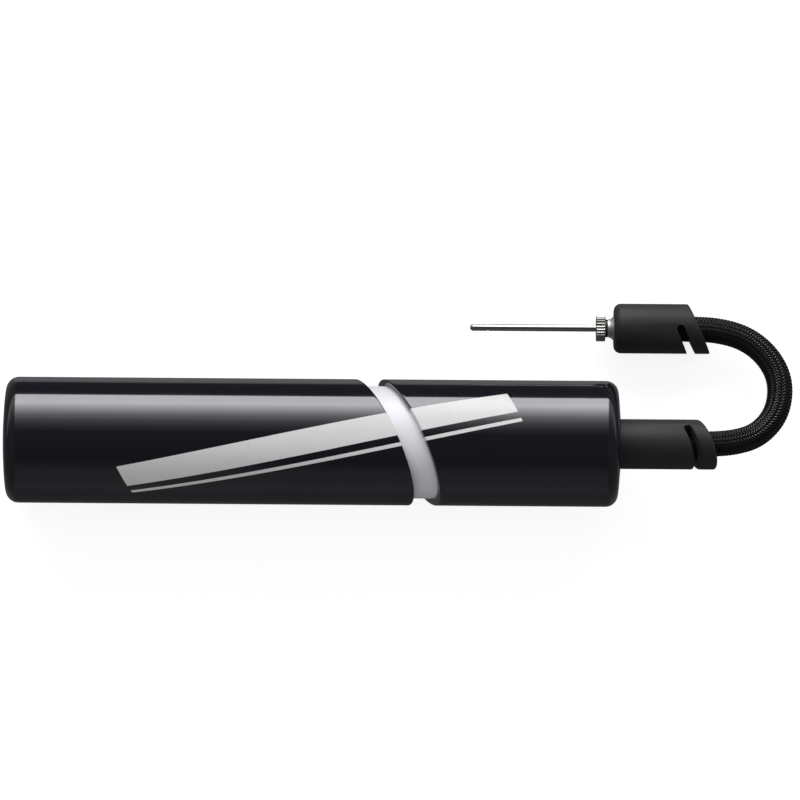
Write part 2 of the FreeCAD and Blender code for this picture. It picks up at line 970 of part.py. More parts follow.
def strain_sleeve(label, seat, start, end, hose_end, mouth_corners):
    """Rubber sleeve: slanted end, and one saw cut that lets it bend with the hose."""
    side = "(sleeve_radius + waste)"
    rise = f"{side}*tan(sleeve_tilt)"
    finish = f"{end} + {rise} + waste"
    inner = f"{hose_end} + ferrule_length + rest_gap"
    body = turned(
        label,
        seat,
        mouth_corners
        + [
            (start, "sleeve_radius"),
            (finish, "sleeve_radius"),
            (finish, "sleeve_bore + sleeve_flare"),
            (f"{end} - sleeve_flare_length", "sleeve_bore"),
            (inner, "sleeve_bore"),
            (inner, "sleeve_pocket"),
        ],
    )
    slant(body, "slanted_end", end, "sleeve_tilt", "sleeve_radius", f"{finish} + waste")
    fillet(body, "rim_fillet", lambda e: is_slanted_rim(e, "sleeve_radius"))
    middle = f"({end} - slot_from_end)"
    half_width = "slot_width/2"
    hole_radius = f"{half_width}*cos(sleeve_tilt)"
    pocket(body, circle(body, "slot_end", "XZ_Plane", (middle, "0"), hole_radius))
    back = f"{half_width}*cos(sleeve_tilt)^2"
    drop = f"{half_width}*cos(sleeve_tilt)*sin(sleeve_tilt)"
    saw_cut = outline(
        body,
        "saw_cut",
        "XZ_Plane",
        [
            (f"{middle} - {back}", drop),
            (f"{middle} - {half_width} + {rise}", side),
            (f"{middle} + {half_width} + {rise}", side),
            (f"{middle} + {back}", f"-{drop}"),
        ],
    )
    pocket(body, saw_cut)
    return body


def root_sleeve():
    strain_sleeve(
        "root_sleeve",
        ROOT,
        "root_sleeve_start",
        "root_sleeve_end",
        "root_hose_start",
        [("root_sleeve_start", "sleeve_pocket")],
    )


def holder_sleeve():
    body = strain_sleeve(
        "holder_sleeve",
        HOLDER,
        "holder_start",
        "holder_sleeve_end",
        "holder_hose_end",
        [
            ("holder_body_start", "sleeve_pocket"),
            ("holder_body_start", "nose_flare + fit_clearance"),
            ("holder_start", "nose_flare + fit_clearance"),
        ],
    )
    fillet(body, "holder_fillet", lambda e: is_ring(e, "holder_start", "sleeve_radius"))


def holder_fitting():
    turned(
        "holder_fitting",
        HOLDER,
        [
            ("nose_start + stem_length", "air_bore"),
            ("nose_start + stem_length", "stem_socket"),
            ("nose_start", "stem_socket"),
            ("nose_start", "nose_radius"),
            ("nose_start + nose_straight", "nose_radius"),
            ("holder_start", "nose_flare"),
            ("holder_body_start", "nose_flare"),
            ("holder_body_start", "fitting_radius"),
            ("holder_hose_end - rest_gap", "fitting_radius"),
        ]
        + barb("holder_hose_end - rest_gap"),
    )


def hose_path():
    """Straight runs joined by tangent arcs, as large as the runs allow."""
    corners = [FreeCAD.Vector(*place) for place in HOSE_ROUTE]
    edges = []
    radii = []
    start = corners[0]
    for before, corner, after in zip(corners, corners[1:], corners[2:]):
        back = before - corner
        onward = after - corner
        reach = ARC_SHARE * min(back.Length, onward.Length)
        half_turn = (pi - back.getAngle(onward)) / 2
        radius = reach / tan(half_turn)
        back.normalize()
        onward.normalize()
        inward = (back + onward).normalize()
        first = corner + back * reach
        last = corner + onward * reach
        middle = corner + inward * (radius / cos(half_turn) - radius)
        edges.append(Part.LineSegment(start, first).toShape())
        edges.append(Part.Arc(first, middle, last).toShape())
        radii.append(radius)
        start = last
    edges.append(Part.LineSegment(start, corners[-1]).toShape())
    return Part.Wire(edges), radii


def swept(path, radius):
    start = FreeCAD.Vector(*HOSE_ROUTE[0])
    way = FreeCAD.Vector(*HOSE_ROUTE[1]) - start
    ring = Part.Wire(Part.Circle(start, way, radius).toShape())
    return path.makePipeShell([ring], True, False)


def hose_layer(label, path, outer, inner):
    """One layer of the hose as a Part::Feature, because its path is a free curve."""
    layer = doc.addObject("Part::Feature", label)
    layer.Label = label
    layer.Shape = swept(path, outer).cut(swept(path, inner))
    layer.Placement = FreeCAD.Placement()
    section = pi * (outer**2 - inner**2)
    print(
        f"{label}: volume {layer.Shape.Volume:.1f}, "
        f"section x length {section * path.Length:.1f}"
    )
    add_node(layer)


def hose():
    path, radii = hose_path()
    print("hose arc radii:", ", ".join(f"{radius:.1f}" for radius in radii))
    print(f"hose length: {path.Length:.1f}")
    hose_layer("hose_tube", path, number("lining_radius"), number("hose_bore"))
    hose_layer("hose_braid", path, number("hose_radius"), number("braid_bore"))


# ---------------------------------------------------------------- needle


def needle_washer():
    turned(
        "needle_washer",
        HOLDER,
        [
            ("washer_start", "stem_socket"),
            ("washer_start", "nose_radius"),
            ("nose_start", "nose_radius"),
            ("nose_start", "stem_socket"),
        ],
    )


def needle_hub():
    tube_seat = "needle_spigot + turning_clearance/2"
    body = turned(
        "needle_hub",
        HOLDER,
        [
            ("collar_start", tube_seat),
            ("collar_start", "collar_radius"),
            ("washer_start", "collar_radius"),
            ("washer_start", "stem_radius"),
            ("washer_start + stem_length", "stem_radius"),
            ("washer_start + stem_length", "air_bore"),
            ("washer_start + needle_seat", "air_bore"),
            ("washer_start + needle_seat", tube_seat),
        ],
    )
    groove = outline(
        body,
        "knurl",
        "YZ_Plane",
        [
            ("0", "collar_radius - knurl_size"),
            ("knurl_size", "collar_radius + knurl_size/2"),
            ("-knurl_size", "collar_radius + knurl_size/2"),
        ],
    )
    around(body, [pocket(body, groove)], "knurl_count")


def needle_tube():
    body = turned(
        "needle_tube",
        HOLDER,
        [
            ("needle_tip + needle_radius", "0"),
            ("needle_tip", "0"),
            ("needle_tip", "needle_radius"),
            ("collar_start", "needle_radius"),
            ("collar_start", "needle_spigot"),
            ("washer_start + needle_seat", "needle_spigot"),
            ("washer_start + needle_seat", "needle_bore"),
            ("needle_tip + needle_radius", "needle_bore"),
        ],
    )
    tip_round = "needle_radius - needle_tip_flat"
    fillet(body, tip_round, lambda e: is_ring(e, "needle_tip", "needle_radius"))
    eye_place = ("needle_tip + needle_eye_back", "0")
    eye = circle(body, "side_eye", "XY_Plane", eye_place, "needle_eye")
    pocket(body, eye)


# ---------------------------------------------------------------- build and write


def build():
    fill_sheet()
    handle_shell()
    handle_cap()
    rod_screw("handle_screw", "screw_head_place", "handle_web", "+")
    closing_bumper()
    piston_rod()
    stroke_bumper()
    rod_guide()
    piston_body()
    rod_screw("piston_screw", "piston_face", "rod_end + piston_web", "-")
    ring_place = "groove_back + fit_clearance + ring_section"
    lying_ring("piston_ring", ring_place, "ring_radius", "ring_section")
    cylinder()
    rod_gland()
    rod_bush()
    retaining_pins("gland_screws", "gland_pin")
    valve_head()
    lying_ring(
        "head_oring",
        "(head_groove_back + head_groove_front)/2",
        "head_oring_radius",
        "head_oring_section",
    )
    retaining_pins("head_screws", "head_pin")
    valve_ball()
    valve_spring()
    valve_cage()
    front_shell()
    front_cap()
    root_fitting()
    lying_ring(
        "spigot_oring",
        "(spigot_groove_back + spigot_groove_front)/2",
        "spigot_oring_radius",
        "spigot_oring_section",
    )
    ferrule("root_ferrule", ROOT, "root_hose_start", "+")
    root_sleeve()
    hose()
    ferrule("holder_ferrule", HOLDER, "holder_hose_end", "+")
    holder_sleeve()
    holder_fitting()
    needle_washer()
    needle_hub()
    needle_tube()
    doc.recompute()


def check_document():
    for obj in doc.Objects:
        if {"Invalid", "Error"} & set(obj.State):
            raise RuntimeError(f"{obj.Name} failed: {obj.State}")
    for node in NODES:
        if node.Shape.isNull() or not node.Shape.isValid():
            raise RuntimeError(f"{node.Label} has no valid shape")
        if not node.Shape.Solids:
            raise RuntimeError(f"{node.Label} has no solid")


def write_parts():
    os.makedirs("parts", exist_ok=True)
    for node in NODES:
        node.Shape.exportStep(f"parts/{node.Label}.step")
    print(f"{len(NODES)} parts written")


build()
check_document()
write_parts()
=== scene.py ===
# %% [markdown]
# # A hand pump for sports balls
#
# The pump lies on a table and is seen from straight above.  Two gloss shells sit on a
# white cylinder, and a short braided hose curls back to a bright needle.  The design
# model holds every size and joint.  This file reads it as a fixed frame, and makes the
# surfaces that an eye would notice: lacquer, rubber, braid, plating and print.

# %% Load the frame
import json
from math import atan2, cos, pi, radians, sin, tan

import bmesh
import bpy
import numpy as np
from mathutils import Matrix, Vector


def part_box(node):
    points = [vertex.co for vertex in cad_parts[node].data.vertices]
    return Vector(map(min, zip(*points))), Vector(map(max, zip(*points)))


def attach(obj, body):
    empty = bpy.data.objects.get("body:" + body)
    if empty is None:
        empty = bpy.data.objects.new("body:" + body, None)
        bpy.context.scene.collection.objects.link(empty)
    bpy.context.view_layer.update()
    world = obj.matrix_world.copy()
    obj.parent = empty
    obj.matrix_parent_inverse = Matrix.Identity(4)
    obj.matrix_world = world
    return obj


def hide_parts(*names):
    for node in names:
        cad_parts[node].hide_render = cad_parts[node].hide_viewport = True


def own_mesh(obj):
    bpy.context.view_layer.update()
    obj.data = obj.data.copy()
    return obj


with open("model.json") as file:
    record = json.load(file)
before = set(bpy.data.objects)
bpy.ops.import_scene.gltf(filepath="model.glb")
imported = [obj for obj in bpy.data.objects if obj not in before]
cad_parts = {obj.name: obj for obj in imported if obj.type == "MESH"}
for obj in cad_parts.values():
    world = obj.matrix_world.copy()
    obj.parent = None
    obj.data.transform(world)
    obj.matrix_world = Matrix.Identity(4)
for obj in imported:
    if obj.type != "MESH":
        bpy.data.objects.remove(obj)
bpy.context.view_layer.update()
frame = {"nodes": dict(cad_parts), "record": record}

MM = 0.001

# %% [markdown]
# ## Measures
#
# Blender works in metres, but a pump is drawn in millimetres, so the pieces below are
# written in millimetres and scaled once.  Each station is read off the frame's boxes.
# A slanted mouth is the one thing that a box can't give, so its two angles are here.

# %% Stations and radii, in millimetres
def box_mm(node):
    low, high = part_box(node)
    return low / MM, high / MM


CUT_TILT = radians(27)
CUT_TURN = radians(55)
SLEEVE_TILT = radians(24)
ROOT_TURN = radians(47)
HOLDER_TURN = radians(90)

front_low, front_high = box_mm("front_shell")
tube_low, tube_high = box_mm("cylinder")
holder_low, holder_high = box_mm("holder_sleeve")
collar_low, collar_high = box_mm("needle_hub")
washer_low, washer_high = box_mm("needle_washer")
tip_low, tip_high = box_mm("needle_tube")

END = box_mm("front_cap")[1].x
SHELL_R = (front_high.z - front_low.z) / 2
TUBE_R = (tube_high.z - tube_low.z) / 2
AXIS_Z = (front_high.z + front_low.z) / 2
SLEEVE_R = (holder_high.z - holder_low.z) / 2
HOLDER_Y = (holder_high.y + holder_low.y) / 2
HOLDER_Z = (holder_high.z + holder_low.z) / 2
HANDLE_CUT = 19.6
FRONT_CUT = 26.8
BARREL_SEAT = (0, AXIS_Z, CUT_TURN)
ROOT_SEAT = (0, AXIS_Z, ROOT_TURN)
HOLDER_SEAT = (HOLDER_Y, HOLDER_Z, HOLDER_TURN)
print(f"barrel {2 * END:.1f} long, {2 * SHELL_R:.1f} across, holder y {HOLDER_Y:.1f}")

# %% [markdown]
# ## Camera
#
# The camera hangs well above the table with a long lens, which keeps the barrel's sides
# almost parallel.  A slight roll leaves the barrel a touch off level.

# %% Camera
LENS_HEIGHT = 1.8
FIELD = 0.2222
SENSOR = 36
CENTRE = (0.0243, 0.01178)
ROLL = radians(0.42)

lens = bpy.data.cameras.new("camera")
lens.sensor_width = SENSOR
lens.lens = SENSOR * LENS_HEIGHT / FIELD
lens.clip_end = 10
camera = bpy.data.objects.new("camera", lens)
camera.location = (*CENTRE, AXIS_Z * MM + LENS_HEIGHT)
camera.rotation_euler = (0, 0, ROLL)
bpy.context.collection.objects.link(camera)
bpy.context.scene.camera = camera
print(f"lens {lens.lens:.0f} mm")

# %% [markdown]
# ## The hose's line
#
# A hose this short and stiff takes one even curve from its fitting to its holder.  The
# points are the design's own route.  A NURBS curve uses them as control points, so its
# line is smooth everywhere.  The order and the end rule are set after the points are
# added, or the curve would keep straight runs.

# %% Hose core
HOSE_ROUTE = [
    (92.6, 0.0, 17.5),
    (101.0, 0.0, 17.5),
    (109.5, 0.1, 17.45),
    (117.3, 0.55, 17.1),
    (124.2, 2.8, 16.2),
    (129.4, 9.0, 14.7),
    (130.4, 17.6, 12.7),
    (127.0, 24.6, 10.6),
    (121.0, 29.6, 8.8),
    (113.2, 31.9, 7.5),
    (104.5, 32.2, 6.95),
    (96.0, 32.2, 6.95),
]
HOSE_R = 3.6
CORE_R = 3.05


def hose_curve(name, radius):
    curve = bpy.data.curves.new(name, "CURVE")
    curve.dimensions = "3D"
    curve.resolution_u = 12
    curve.bevel_depth = radius * MM
    curve.bevel_resolution = 8
    curve.use_fill_caps = radius > 0
    line = curve.splines.new("NURBS")
    line.points.add(len(HOSE_ROUTE) - 1)
    for point, place in zip(line.points, HOSE_ROUTE):
        point.co = (*(Vector(place) * MM), 1)
    line.order_u = 3
    line.use_endpoint_u = True
    piece = bpy.data.objects.new(name, curve)
    bpy.context.collection.objects.link(piece)
    return piece


def read_line(piece):
    """Points along a curve that has no thickness, in order."""
    graph = bpy.context.evaluated_depsgraph_get()
    mesh = bpy.data.meshes.new_from_object(piece.evaluated_get(graph))
    points = np.array([vertex.co for vertex in mesh.vertices])
    bpy.data.meshes.remove(mesh)
    return points


hose_core = hose_curve("hose_core", CORE_R)
bare_line = hose_curve("hose_line", 0)
line_points = read_line(bare_line)
bpy.data.objects.remove(bare_line)
steps = np.linalg.norm(np.diff(line_points, axis=0), axis=1)
hose_length = float(steps.sum())
print(f"hose: {len(line_points)} points, {hose_length / MM:.1f} mm long")

# %% [markdown]
# ## Working with bmesh
#
# Nearly every piece of a pump comes off a lathe.  A profile is drawn as one flat face,
# its corners are rounded by beveling vertices, and its rim is spun about the X axis.
# Long straight edges get a support point close to each end, so that the smooth shading
# of a rounded corner doesn't bleed along the wall beside it.

# %% Lathe
SUPPORT = 0.35
BIG_FILLET = 0.5
WELD = 1e-4


def flat_profile(bm, corners):
    """A face through (station, radius, fillet) corners, with the fillets beveled in."""
    spots = [bm.verts.new((x, 0, r)) for x, r, _ in corners]
    bm.faces.new(spots)
    for spot, (_, _, fillet) in zip(spots, corners):
        if fillet:
            bmesh.ops.bevel(
                bm,
                geom=[spot],
                offset=fillet,
                offset_type="OFFSET",
                segments=8 if fillet > BIG_FILLET else 4,
                profile=0.5,
                affect="VERTICES",
                material=-1,
                clamp_overlap=False,
            )


def support_edges(bm):
    for edge in [e for e in bm.edges if e.calc_length() > 4 * SUPPORT]:
        far = edge.verts[1]
        length = edge.calc_length()
        _, first = bmesh.utils.edge_split(edge, edge.verts[0], SUPPORT / length)
        rest = next(e for e in first.link_edges if e.other_vert(first) == far)
        bmesh.utils.edge_split(rest, far, SUPPORT / (length - SUPPORT))


def lathe(corners, turns):
    bm = bmesh.new()
    flat_profile(bm, corners)
    support_edges(bm)
    bmesh.ops.delete(bm, geom=bm.faces[:], context="FACES_ONLY")
    bmesh.ops.spin(
        bm,
        geom=bm.verts[:] + bm.edges[:],
        cent=(0, 0, 0),
        axis=(1, 0, 0),
        angle=2 * pi,
        steps=turns,
        use_merge=True,
    )
    bmesh.ops.remove_doubles(bm, verts=bm.verts[:], dist=WELD)
    bmesh.ops.recalc_face_normals(bm, faces=bm.faces[:])
    return bm


def lean(bm, station, tilt, after=True):
    """Shear one end so that its face leans with +Z."""
    slope = Matrix.Identity(4)
    slope[0][2] = tan(tilt)
    picked = [v for v in bm.verts if (v.co.x > station) == after]
    bmesh.ops.transform(bm, matrix=slope, space=Matrix.Identity(4), verts=picked)


def block(low, high, edge=0.0):
    """A box between two corners, with its edges rounded."""
    bm = bmesh.new()
    size = Vector(high) - Vector(low)
    middle = (Vector(high) + Vector(low)) / 2
    place = Matrix.Translation(middle) @ Matrix.Diagonal((*size, 1))
    bmesh.ops.create_cube(bm, size=1, matrix=place)
    if edge:
        bmesh.ops.bevel(
            bm,
            geom=bm.edges[:],
            offset=edge,
            segments=3,
            profile=0.5,
            affect="EDGES",
            material=-1,
        )
    return bm


# %% [markdown]
# ## From bmesh to a finished piece
#
# A piece is modelled about its own axis, then turned and moved to its seat in the
# frame, in metres.  The place goes in the mesh, and the object stays at the origin.
# Slots and holes are cut with a Boolean, which is applied at once.

# %% Finish, cut and merge
def seat_matrix(seat):
    side, height, turn = seat
    move = Matrix.Translation(Vector((0, side, height)) * MM)
    return move @ Matrix.Rotation(turn, 4, "X") @ Matrix.Scale(MM, 4)


def to_object(bm, name):
    mesh = bpy.data.meshes.new(name)
    bm.to_mesh(mesh)
    bm.free()
    piece = bpy.data.objects.new(name, mesh)
    bpy.context.collection.objects.link(piece)
    return piece


def apply_modifiers(piece):
    graph = bpy.context.evaluated_depsgraph_get()
    baked = bpy.data.meshes.new_from_object(piece.evaluated_get(graph))
    old = piece.data
    piece.modifiers.clear()
    piece.data = baked
    bpy.data.meshes.remove(old)
    baked.name = piece.name


def cut(piece, *cutters):
    """Take each cutter's shape out of a piece, and delete the cutter."""
    for cutter in cutters:
        tool = to_object(cutter, "cutter")
        boolean = piece.modifiers.new("cut", "BOOLEAN")
        boolean.object = tool
        boolean.operation = "DIFFERENCE"
        boolean.solver = "EXACT"
        bpy.context.view_layer.update()
        apply_modifiers(piece)
        bpy.data.objects.remove(tool)


def soften(piece, width, segments=2):
    """Round the sharp edges that a cut leaves."""
    bevel = piece.modifiers.new("soften", "BEVEL")
    bevel.width = width
    bevel.segments = segments
    bevel.limit_method = "ANGLE"
    bevel.angle_limit = radians(40)
    apply_modifiers(piece)


def into_place(piece, seat, sharp=40):
    piece.data.transform(seat_matrix(seat))
    piece.data.shade_smooth()
    piece.data.set_sharp_from_angle(angle=radians(sharp))
    piece.data.update()
    return piece


def add_to(bm, extra):
    """Put a second bmesh in the first, as one more closed shell."""
    mesh = bpy.data.meshes.new("extra")
    extra.to_mesh(mesh)
    extra.free()
    bm.from_mesh(mesh)
    bpy.data.meshes.remove(mesh)


def settle(piece, body, slot, material, *nodes):
    """Give a piece its finish and its body, and hide the design solid it stands for."""
    piece.data.materials.clear()
    piece.data.materials.append(material)
    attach(piece, body)
    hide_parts(*nodes)
    faces = len(piece.data.polygons) if piece.type == "MESH" else "a curve"
    print(f"{piece.name}: {faces}, on {body}")


# %% [markdown]
# ## Effects shared by the finishes
#
# Three effects come back in several materials, so each is a node group that is built
# once.  *Mottle* is a soft change of tone.  *Grain* is the fine relief of a moulding.
# *Handling* is the faint smearing that dulls a touched surface.  All three read object
# coordinates, so the pattern stays with its piece when a joint moves.

# %% Node helpers
FLOAT = "NodeSocketFloat"


def new_group(name, inputs, output):
    """A node group with number inputs and one number output."""
    group = bpy.data.node_groups.new(name, "ShaderNodeTree")
    for label, value in inputs.items():
        socket = group.interface.new_socket(label, in_out="INPUT", socket_type=FLOAT)
        socket.default_value = value
    group.interface.new_socket(output, in_out="OUTPUT", socket_type=FLOAT)
    return group, group.nodes.new("NodeGroupInput"), group.nodes.new("NodeGroupOutput")


def math_node(tree, kind, first, second=None, third=None, clamp=False):
    """One Math node; each value is a number or another node's socket."""
    node = tree.nodes.new("ShaderNodeMath")
    node.operation = kind
    node.use_clamp = clamp
    for socket, value in zip(node.inputs, (first, second, third)):
        if isinstance(value, (int, float)):
            socket.default_value = value
        elif value is not None:
            tree.links.new(value, socket)
    return node.outputs[0]


def noise_node(tree, vector, scale, detail=3, roughness=0.5):
    node = tree.nodes.new("ShaderNodeTexNoise")
    node.inputs["Detail"].default_value = detail
    node.inputs["Roughness"].default_value = roughness
    tree.links.new(vector, node.inputs["Vector"])
    if isinstance(scale, (int, float)):
        node.inputs["Scale"].default_value = scale
    else:
        tree.links.new(scale, node.inputs["Scale"])
    return node.outputs["Fac"]


def spread(tree, value, low, high):
    """Map 0..1 to low..high; the limits are numbers or sockets."""
    node = tree.nodes.new("ShaderNodeMapRange")
    tree.links.new(value, node.inputs["Value"])
    for name, limit in (("To Min", low), ("To Max", high)):
        if isinstance(limit, (int, float)):
            node.inputs[name].default_value = limit
        else:
            tree.links.new(limit, node.inputs[name])
    return node.outputs["Result"]


def object_coords(tree):
    return tree.nodes.new("ShaderNodeTexCoord").outputs["Object"]


# %% [markdown]
# Each group ends in one number.  Handling maps its noise to a range that starts below
# zero and stops it at zero, so a good part of a surface stays clean.

# %% Shared groups: mottle, grain and handling
SMEAR_RANGE = (-0.9, 1.3)

mottle, group_in, group_out = new_group("mottle", {"Scale": 90.0}, "Tone")
tone = noise_node(mottle, object_coords(mottle), group_in.outputs["Scale"], detail=4)
mottle.links.new(tone, group_out.inputs["Tone"])

grain, group_in, group_out = new_group("grain", {"Scale": 4000.0}, "Height")
fine = noise_node(
    grain, object_coords(grain), group_in.outputs["Scale"], detail=2, roughness=0.7
)
grain.links.new(fine, group_out.inputs["Height"])

handling, group_in, group_out = new_group(
    "handling", {"Base": 0.1, "Extra": 0.1, "Scale": 60.0}, "Roughness"
)
smear_scale = group_in.outputs["Scale"]
smear = noise_node(
    handling, object_coords(handling), smear_scale, detail=6, roughness=0.65
)
patch = spread(handling, smear, *SMEAR_RANGE)
patch = math_node(handling, "MAXIMUM", patch, 0.0)
dulled = math_node(
    handling, "MULTIPLY_ADD", patch, group_in.outputs["Extra"], group_in.outputs["Base"]
)
handling.links.new(dulled, group_out.inputs["Roughness"])
print("groups:", ", ".join(g.name for g in bpy.data.node_groups))

# %% [markdown]
# ## A recipe for most finishes
#
# Nearly every finish is two close tones, a roughness with some handling on it, and a
# little relief.  The relief is in millimetres, as the pieces are.

# %% Material helpers
def new_material(name):
    material = bpy.data.materials.new(name)
    material.use_nodes = True
    tree = material.node_tree
    return material, tree, tree.nodes["Principled BSDF"]


def use_group(tree, group, **values):
    node = tree.nodes.new("ShaderNodeGroup")
    node.node_tree = group
    for label, value in values.items():
        node.inputs[label].default_value = value
    return node


def tinted(tree, factor, dark, light):
    """A colour between two, by a factor."""
    mix = tree.nodes.new("ShaderNodeMix")
    mix.data_type = "RGBA"
    mix.inputs["A"].default_value = (*dark, 1)
    mix.inputs["B"].default_value = (*light, 1)
    tree.links.new(factor, mix.inputs["Factor"])
    return mix.outputs["Result"]


def bumped(tree, shader, height, distance, strength=1.0):
    bump = tree.nodes.new("ShaderNodeBump")
    bump.inputs["Distance"].default_value = distance * MM
    bump.inputs["Strength"].default_value = strength
    tree.links.new(height, bump.inputs["Height"])
    tree.links.new(bump.outputs["Normal"], shader.inputs["Normal"])


def common_finish(
    name, dark, light, rough, extra, relief, grain_scale=4000.0, tone_scale=90.0
):
    """Tone, handling and grain on one Principled shader."""
    material, tree, shader = new_material(name)
    tone_node = use_group(tree, mottle, Scale=tone_scale)
    colour = tinted(tree, tone_node.outputs["Tone"], dark, light)
    tree.links.new(colour, shader.inputs["Base Color"])
    touch = use_group(tree, handling, Base=rough, Extra=extra)
    tree.links.new(touch.outputs["Roughness"], shader.inputs["Roughness"])
    if relief:
        fine_node = use_group(tree, grain, Scale=grain_scale)
        bumped(tree, shader, fine_node.outputs["Height"], relief)
    return material, tree, shader


# %% [markdown]
# ## Lacquer and its print
#
# The shells are navy-black and very glossy.  One white band and a hairline beside it
# run slantwise across both shells, straight and of even width.  A print on a tube is
# laid out on its unrolled surface, so the mask works with the distance round the tube
# and the distance along it.  Both shells use the same mask, so the band carries across
# the gap.

# %% Print mask
BAND_SLOPE = 0.215
BAND_WIDTH = 7.2
HAIR_WIDTH = 1.1
HAIR_OFFSET = 6.2
BAND_SHIFT = 0.6
BAND_START = -57.0
BAND_STOP = 61.0
END_LEAN = 0.45
INK_EDGE = 0.04

print_mask, group_in, group_out = new_group("print_mask", {}, "Mask")
split = print_mask.nodes.new("ShaderNodeSeparateXYZ")
print_mask.links.new(object_coords(print_mask), split.inputs[0])
above = math_node(print_mask, "SUBTRACT", split.outputs["Z"], AXIS_Z * MM)
turn = math_node(print_mask, "ARCTAN2", split.outputs["Y"], above)
around_mm = math_node(print_mask, "MULTIPLY", turn, SHELL_R)
along_mm = math_node(print_mask, "DIVIDE", split.outputs["X"], MM)
line_mm = math_node(print_mask, "MULTIPLY_ADD", along_mm, BAND_SLOPE, BAND_SHIFT)
offset_mm = math_node(print_mask, "SUBTRACT", around_mm, line_mm)


def ink_between(value, low, high):
    """1 between two limits in millimetres, with a soft edge INK_EDGE wide."""
    rise = math_node(print_mask, "SUBTRACT", value, low)
    fall = math_node(print_mask, "SUBTRACT", high, value)
    inside = math_node(print_mask, "MINIMUM", rise, fall)
    return math_node(print_mask, "DIVIDE", inside, INK_EDGE, clamp=True)


band = ink_between(offset_mm, -BAND_WIDTH / 2, BAND_WIDTH / 2)
hair = ink_between(
    offset_mm, -HAIR_OFFSET - HAIR_WIDTH / 2, -HAIR_OFFSET + HAIR_WIDTH / 2
)
either = math_node(print_mask, "MAXIMUM", band, hair)
leaning = math_node(print_mask, "MULTIPLY_ADD", around_mm, END_LEAN, along_mm)
ends = ink_between(leaning, BAND_START, BAND_STOP)
ink = math_node(print_mask, "MULTIPLY", either, ends)
print_mask.links.new(ink, group_out.inputs["Mask"])
print(f"band {BAND_WIDTH} mm wide, hairline {HAIR_WIDTH} mm")

# %% [markdown]
# Under the ink the lacquer is smooth, with a clear coat over it.  The ink is off-white,
# a touch proud and duller than the lacquer, and has hardly any coat.

# %% Lacquered shell
PAPER_DARK = (0.64, 0.64, 0.64)
PAPER_LIGHT = (0.70, 0.70, 0.70)
INK_ROUGHER = 0.30
INK_RELIEF = 0.012
INK_LESS_COAT = 0.8
COAT_RANGE = (0.80, 0.96)

lacquer, tree, shader = common_finish(
    "lacquer",
    (0.0072, 0.0072, 0.0108),
    (0.0086, 0.0086, 0.0128),
    rough=0.12,
    extra=0.10,
    relief=0,
)
ink_node = use_group(tree, print_mask)
under = shader.inputs["Base Color"].links[0].from_socket
white = tree.nodes.new("ShaderNodeMix")
white.data_type = "RGBA"
tree.links.new(ink_node.outputs["Mask"], white.inputs["Factor"])
tree.links.new(under, white.inputs["A"])
paper = use_group(tree, mottle, Scale=300.0)
tree.links.new(
    tinted(tree, paper.outputs["Tone"], PAPER_DARK, PAPER_LIGHT), white.inputs["B"]
)
tree.links.new(white.outputs["Result"], shader.inputs["Base Color"])
polish = shader.inputs["Roughness"].links[0].from_socket
matt_ink = math_node(
    tree, "MULTIPLY_ADD", ink_node.outputs["Mask"], INK_ROUGHER, polish
)
tree.links.new(matt_ink, shader.inputs["Roughness"])
bumped(tree, shader, ink_node.outputs["Mask"], INK_RELIEF)
coat_tone = use_group(tree, mottle, Scale=45.0)
coat = spread(tree, coat_tone.outputs["Tone"], *COAT_RANGE)
bare = math_node(
    tree, "MULTIPLY_ADD", ink_node.outputs["Mask"], -INK_LESS_COAT, 1.0
)
tree.links.new(math_node(tree, "MULTIPLY", coat, bare), shader.inputs["Coat Weight"])
shader.inputs["Specular IOR Level"].default_value = 0.1
shader.inputs["Coat Roughness"].default_value = 0.03
print("lacquer ready")

# %% [markdown]
# ## The other finishes
#
# White cylinder plastic, black moulded caps, matt rubber, nickel plating, ground steel
# and greased seals differ in tone, gloss and grain, and come from one recipe.

# %% Plastics, rubbers and metals
white_plastic, tree, shader = common_finish(
    "white_plastic",
    (0.735, 0.735, 0.775),
    (0.775, 0.775, 0.815),
    rough=0.40,
    extra=0.12,
    relief=0.0015,
)
shader.inputs["Subsurface Weight"].default_value = 0.08
shader.inputs["Subsurface Radius"].default_value = (0.001, 0.001, 0.001)
shader.inputs["Subsurface Scale"].default_value = 1.0

cap_plastic, _, _ = common_finish(
    "cap_plastic",
    (0.008, 0.008, 0.010),
    (0.014, 0.014, 0.017),
    rough=0.34,
    extra=0.2,
    relief=0.02,
    grain_scale=2600.0,
)
inner_plastic, _, _ = common_finish(
    "inner_plastic",
    (0.16, 0.165, 0.175),
    (0.20, 0.205, 0.215),
    rough=0.38,
    extra=0.2,
    relief=0.01,
)
bush_plastic, _, _ = common_finish(
    "bush_plastic",
    (0.62, 0.62, 0.60),
    (0.70, 0.70, 0.68),
    rough=0.4,
    extra=0.1,
    relief=0.005,
)
sleeve_rubber, _, shader = common_finish(
    "sleeve_rubber",
    (0.0094, 0.0097, 0.0101),
    (0.0134, 0.0138, 0.0142),
    rough=0.58,
    extra=0.12,
    relief=0.02,
    grain_scale=2200.0,
)
shader.inputs["Specular IOR Level"].default_value = 0.4
shader.inputs["Sheen Weight"].default_value = 0.04
shader.inputs["Sheen Roughness"].default_value = 0.5
soft_rubber, _, _ = common_finish(
    "soft_rubber",
    (0.012, 0.012, 0.013),
    (0.02, 0.02, 0.021),
    rough=0.62,
    extra=0.1,
    relief=0.02,
)
seal_rubber, _, _ = common_finish(
    "seal_rubber",
    (0.010, 0.010, 0.011),
    (0.014, 0.014, 0.015),
    rough=0.22,
    extra=0.2,
    relief=0.004,
)


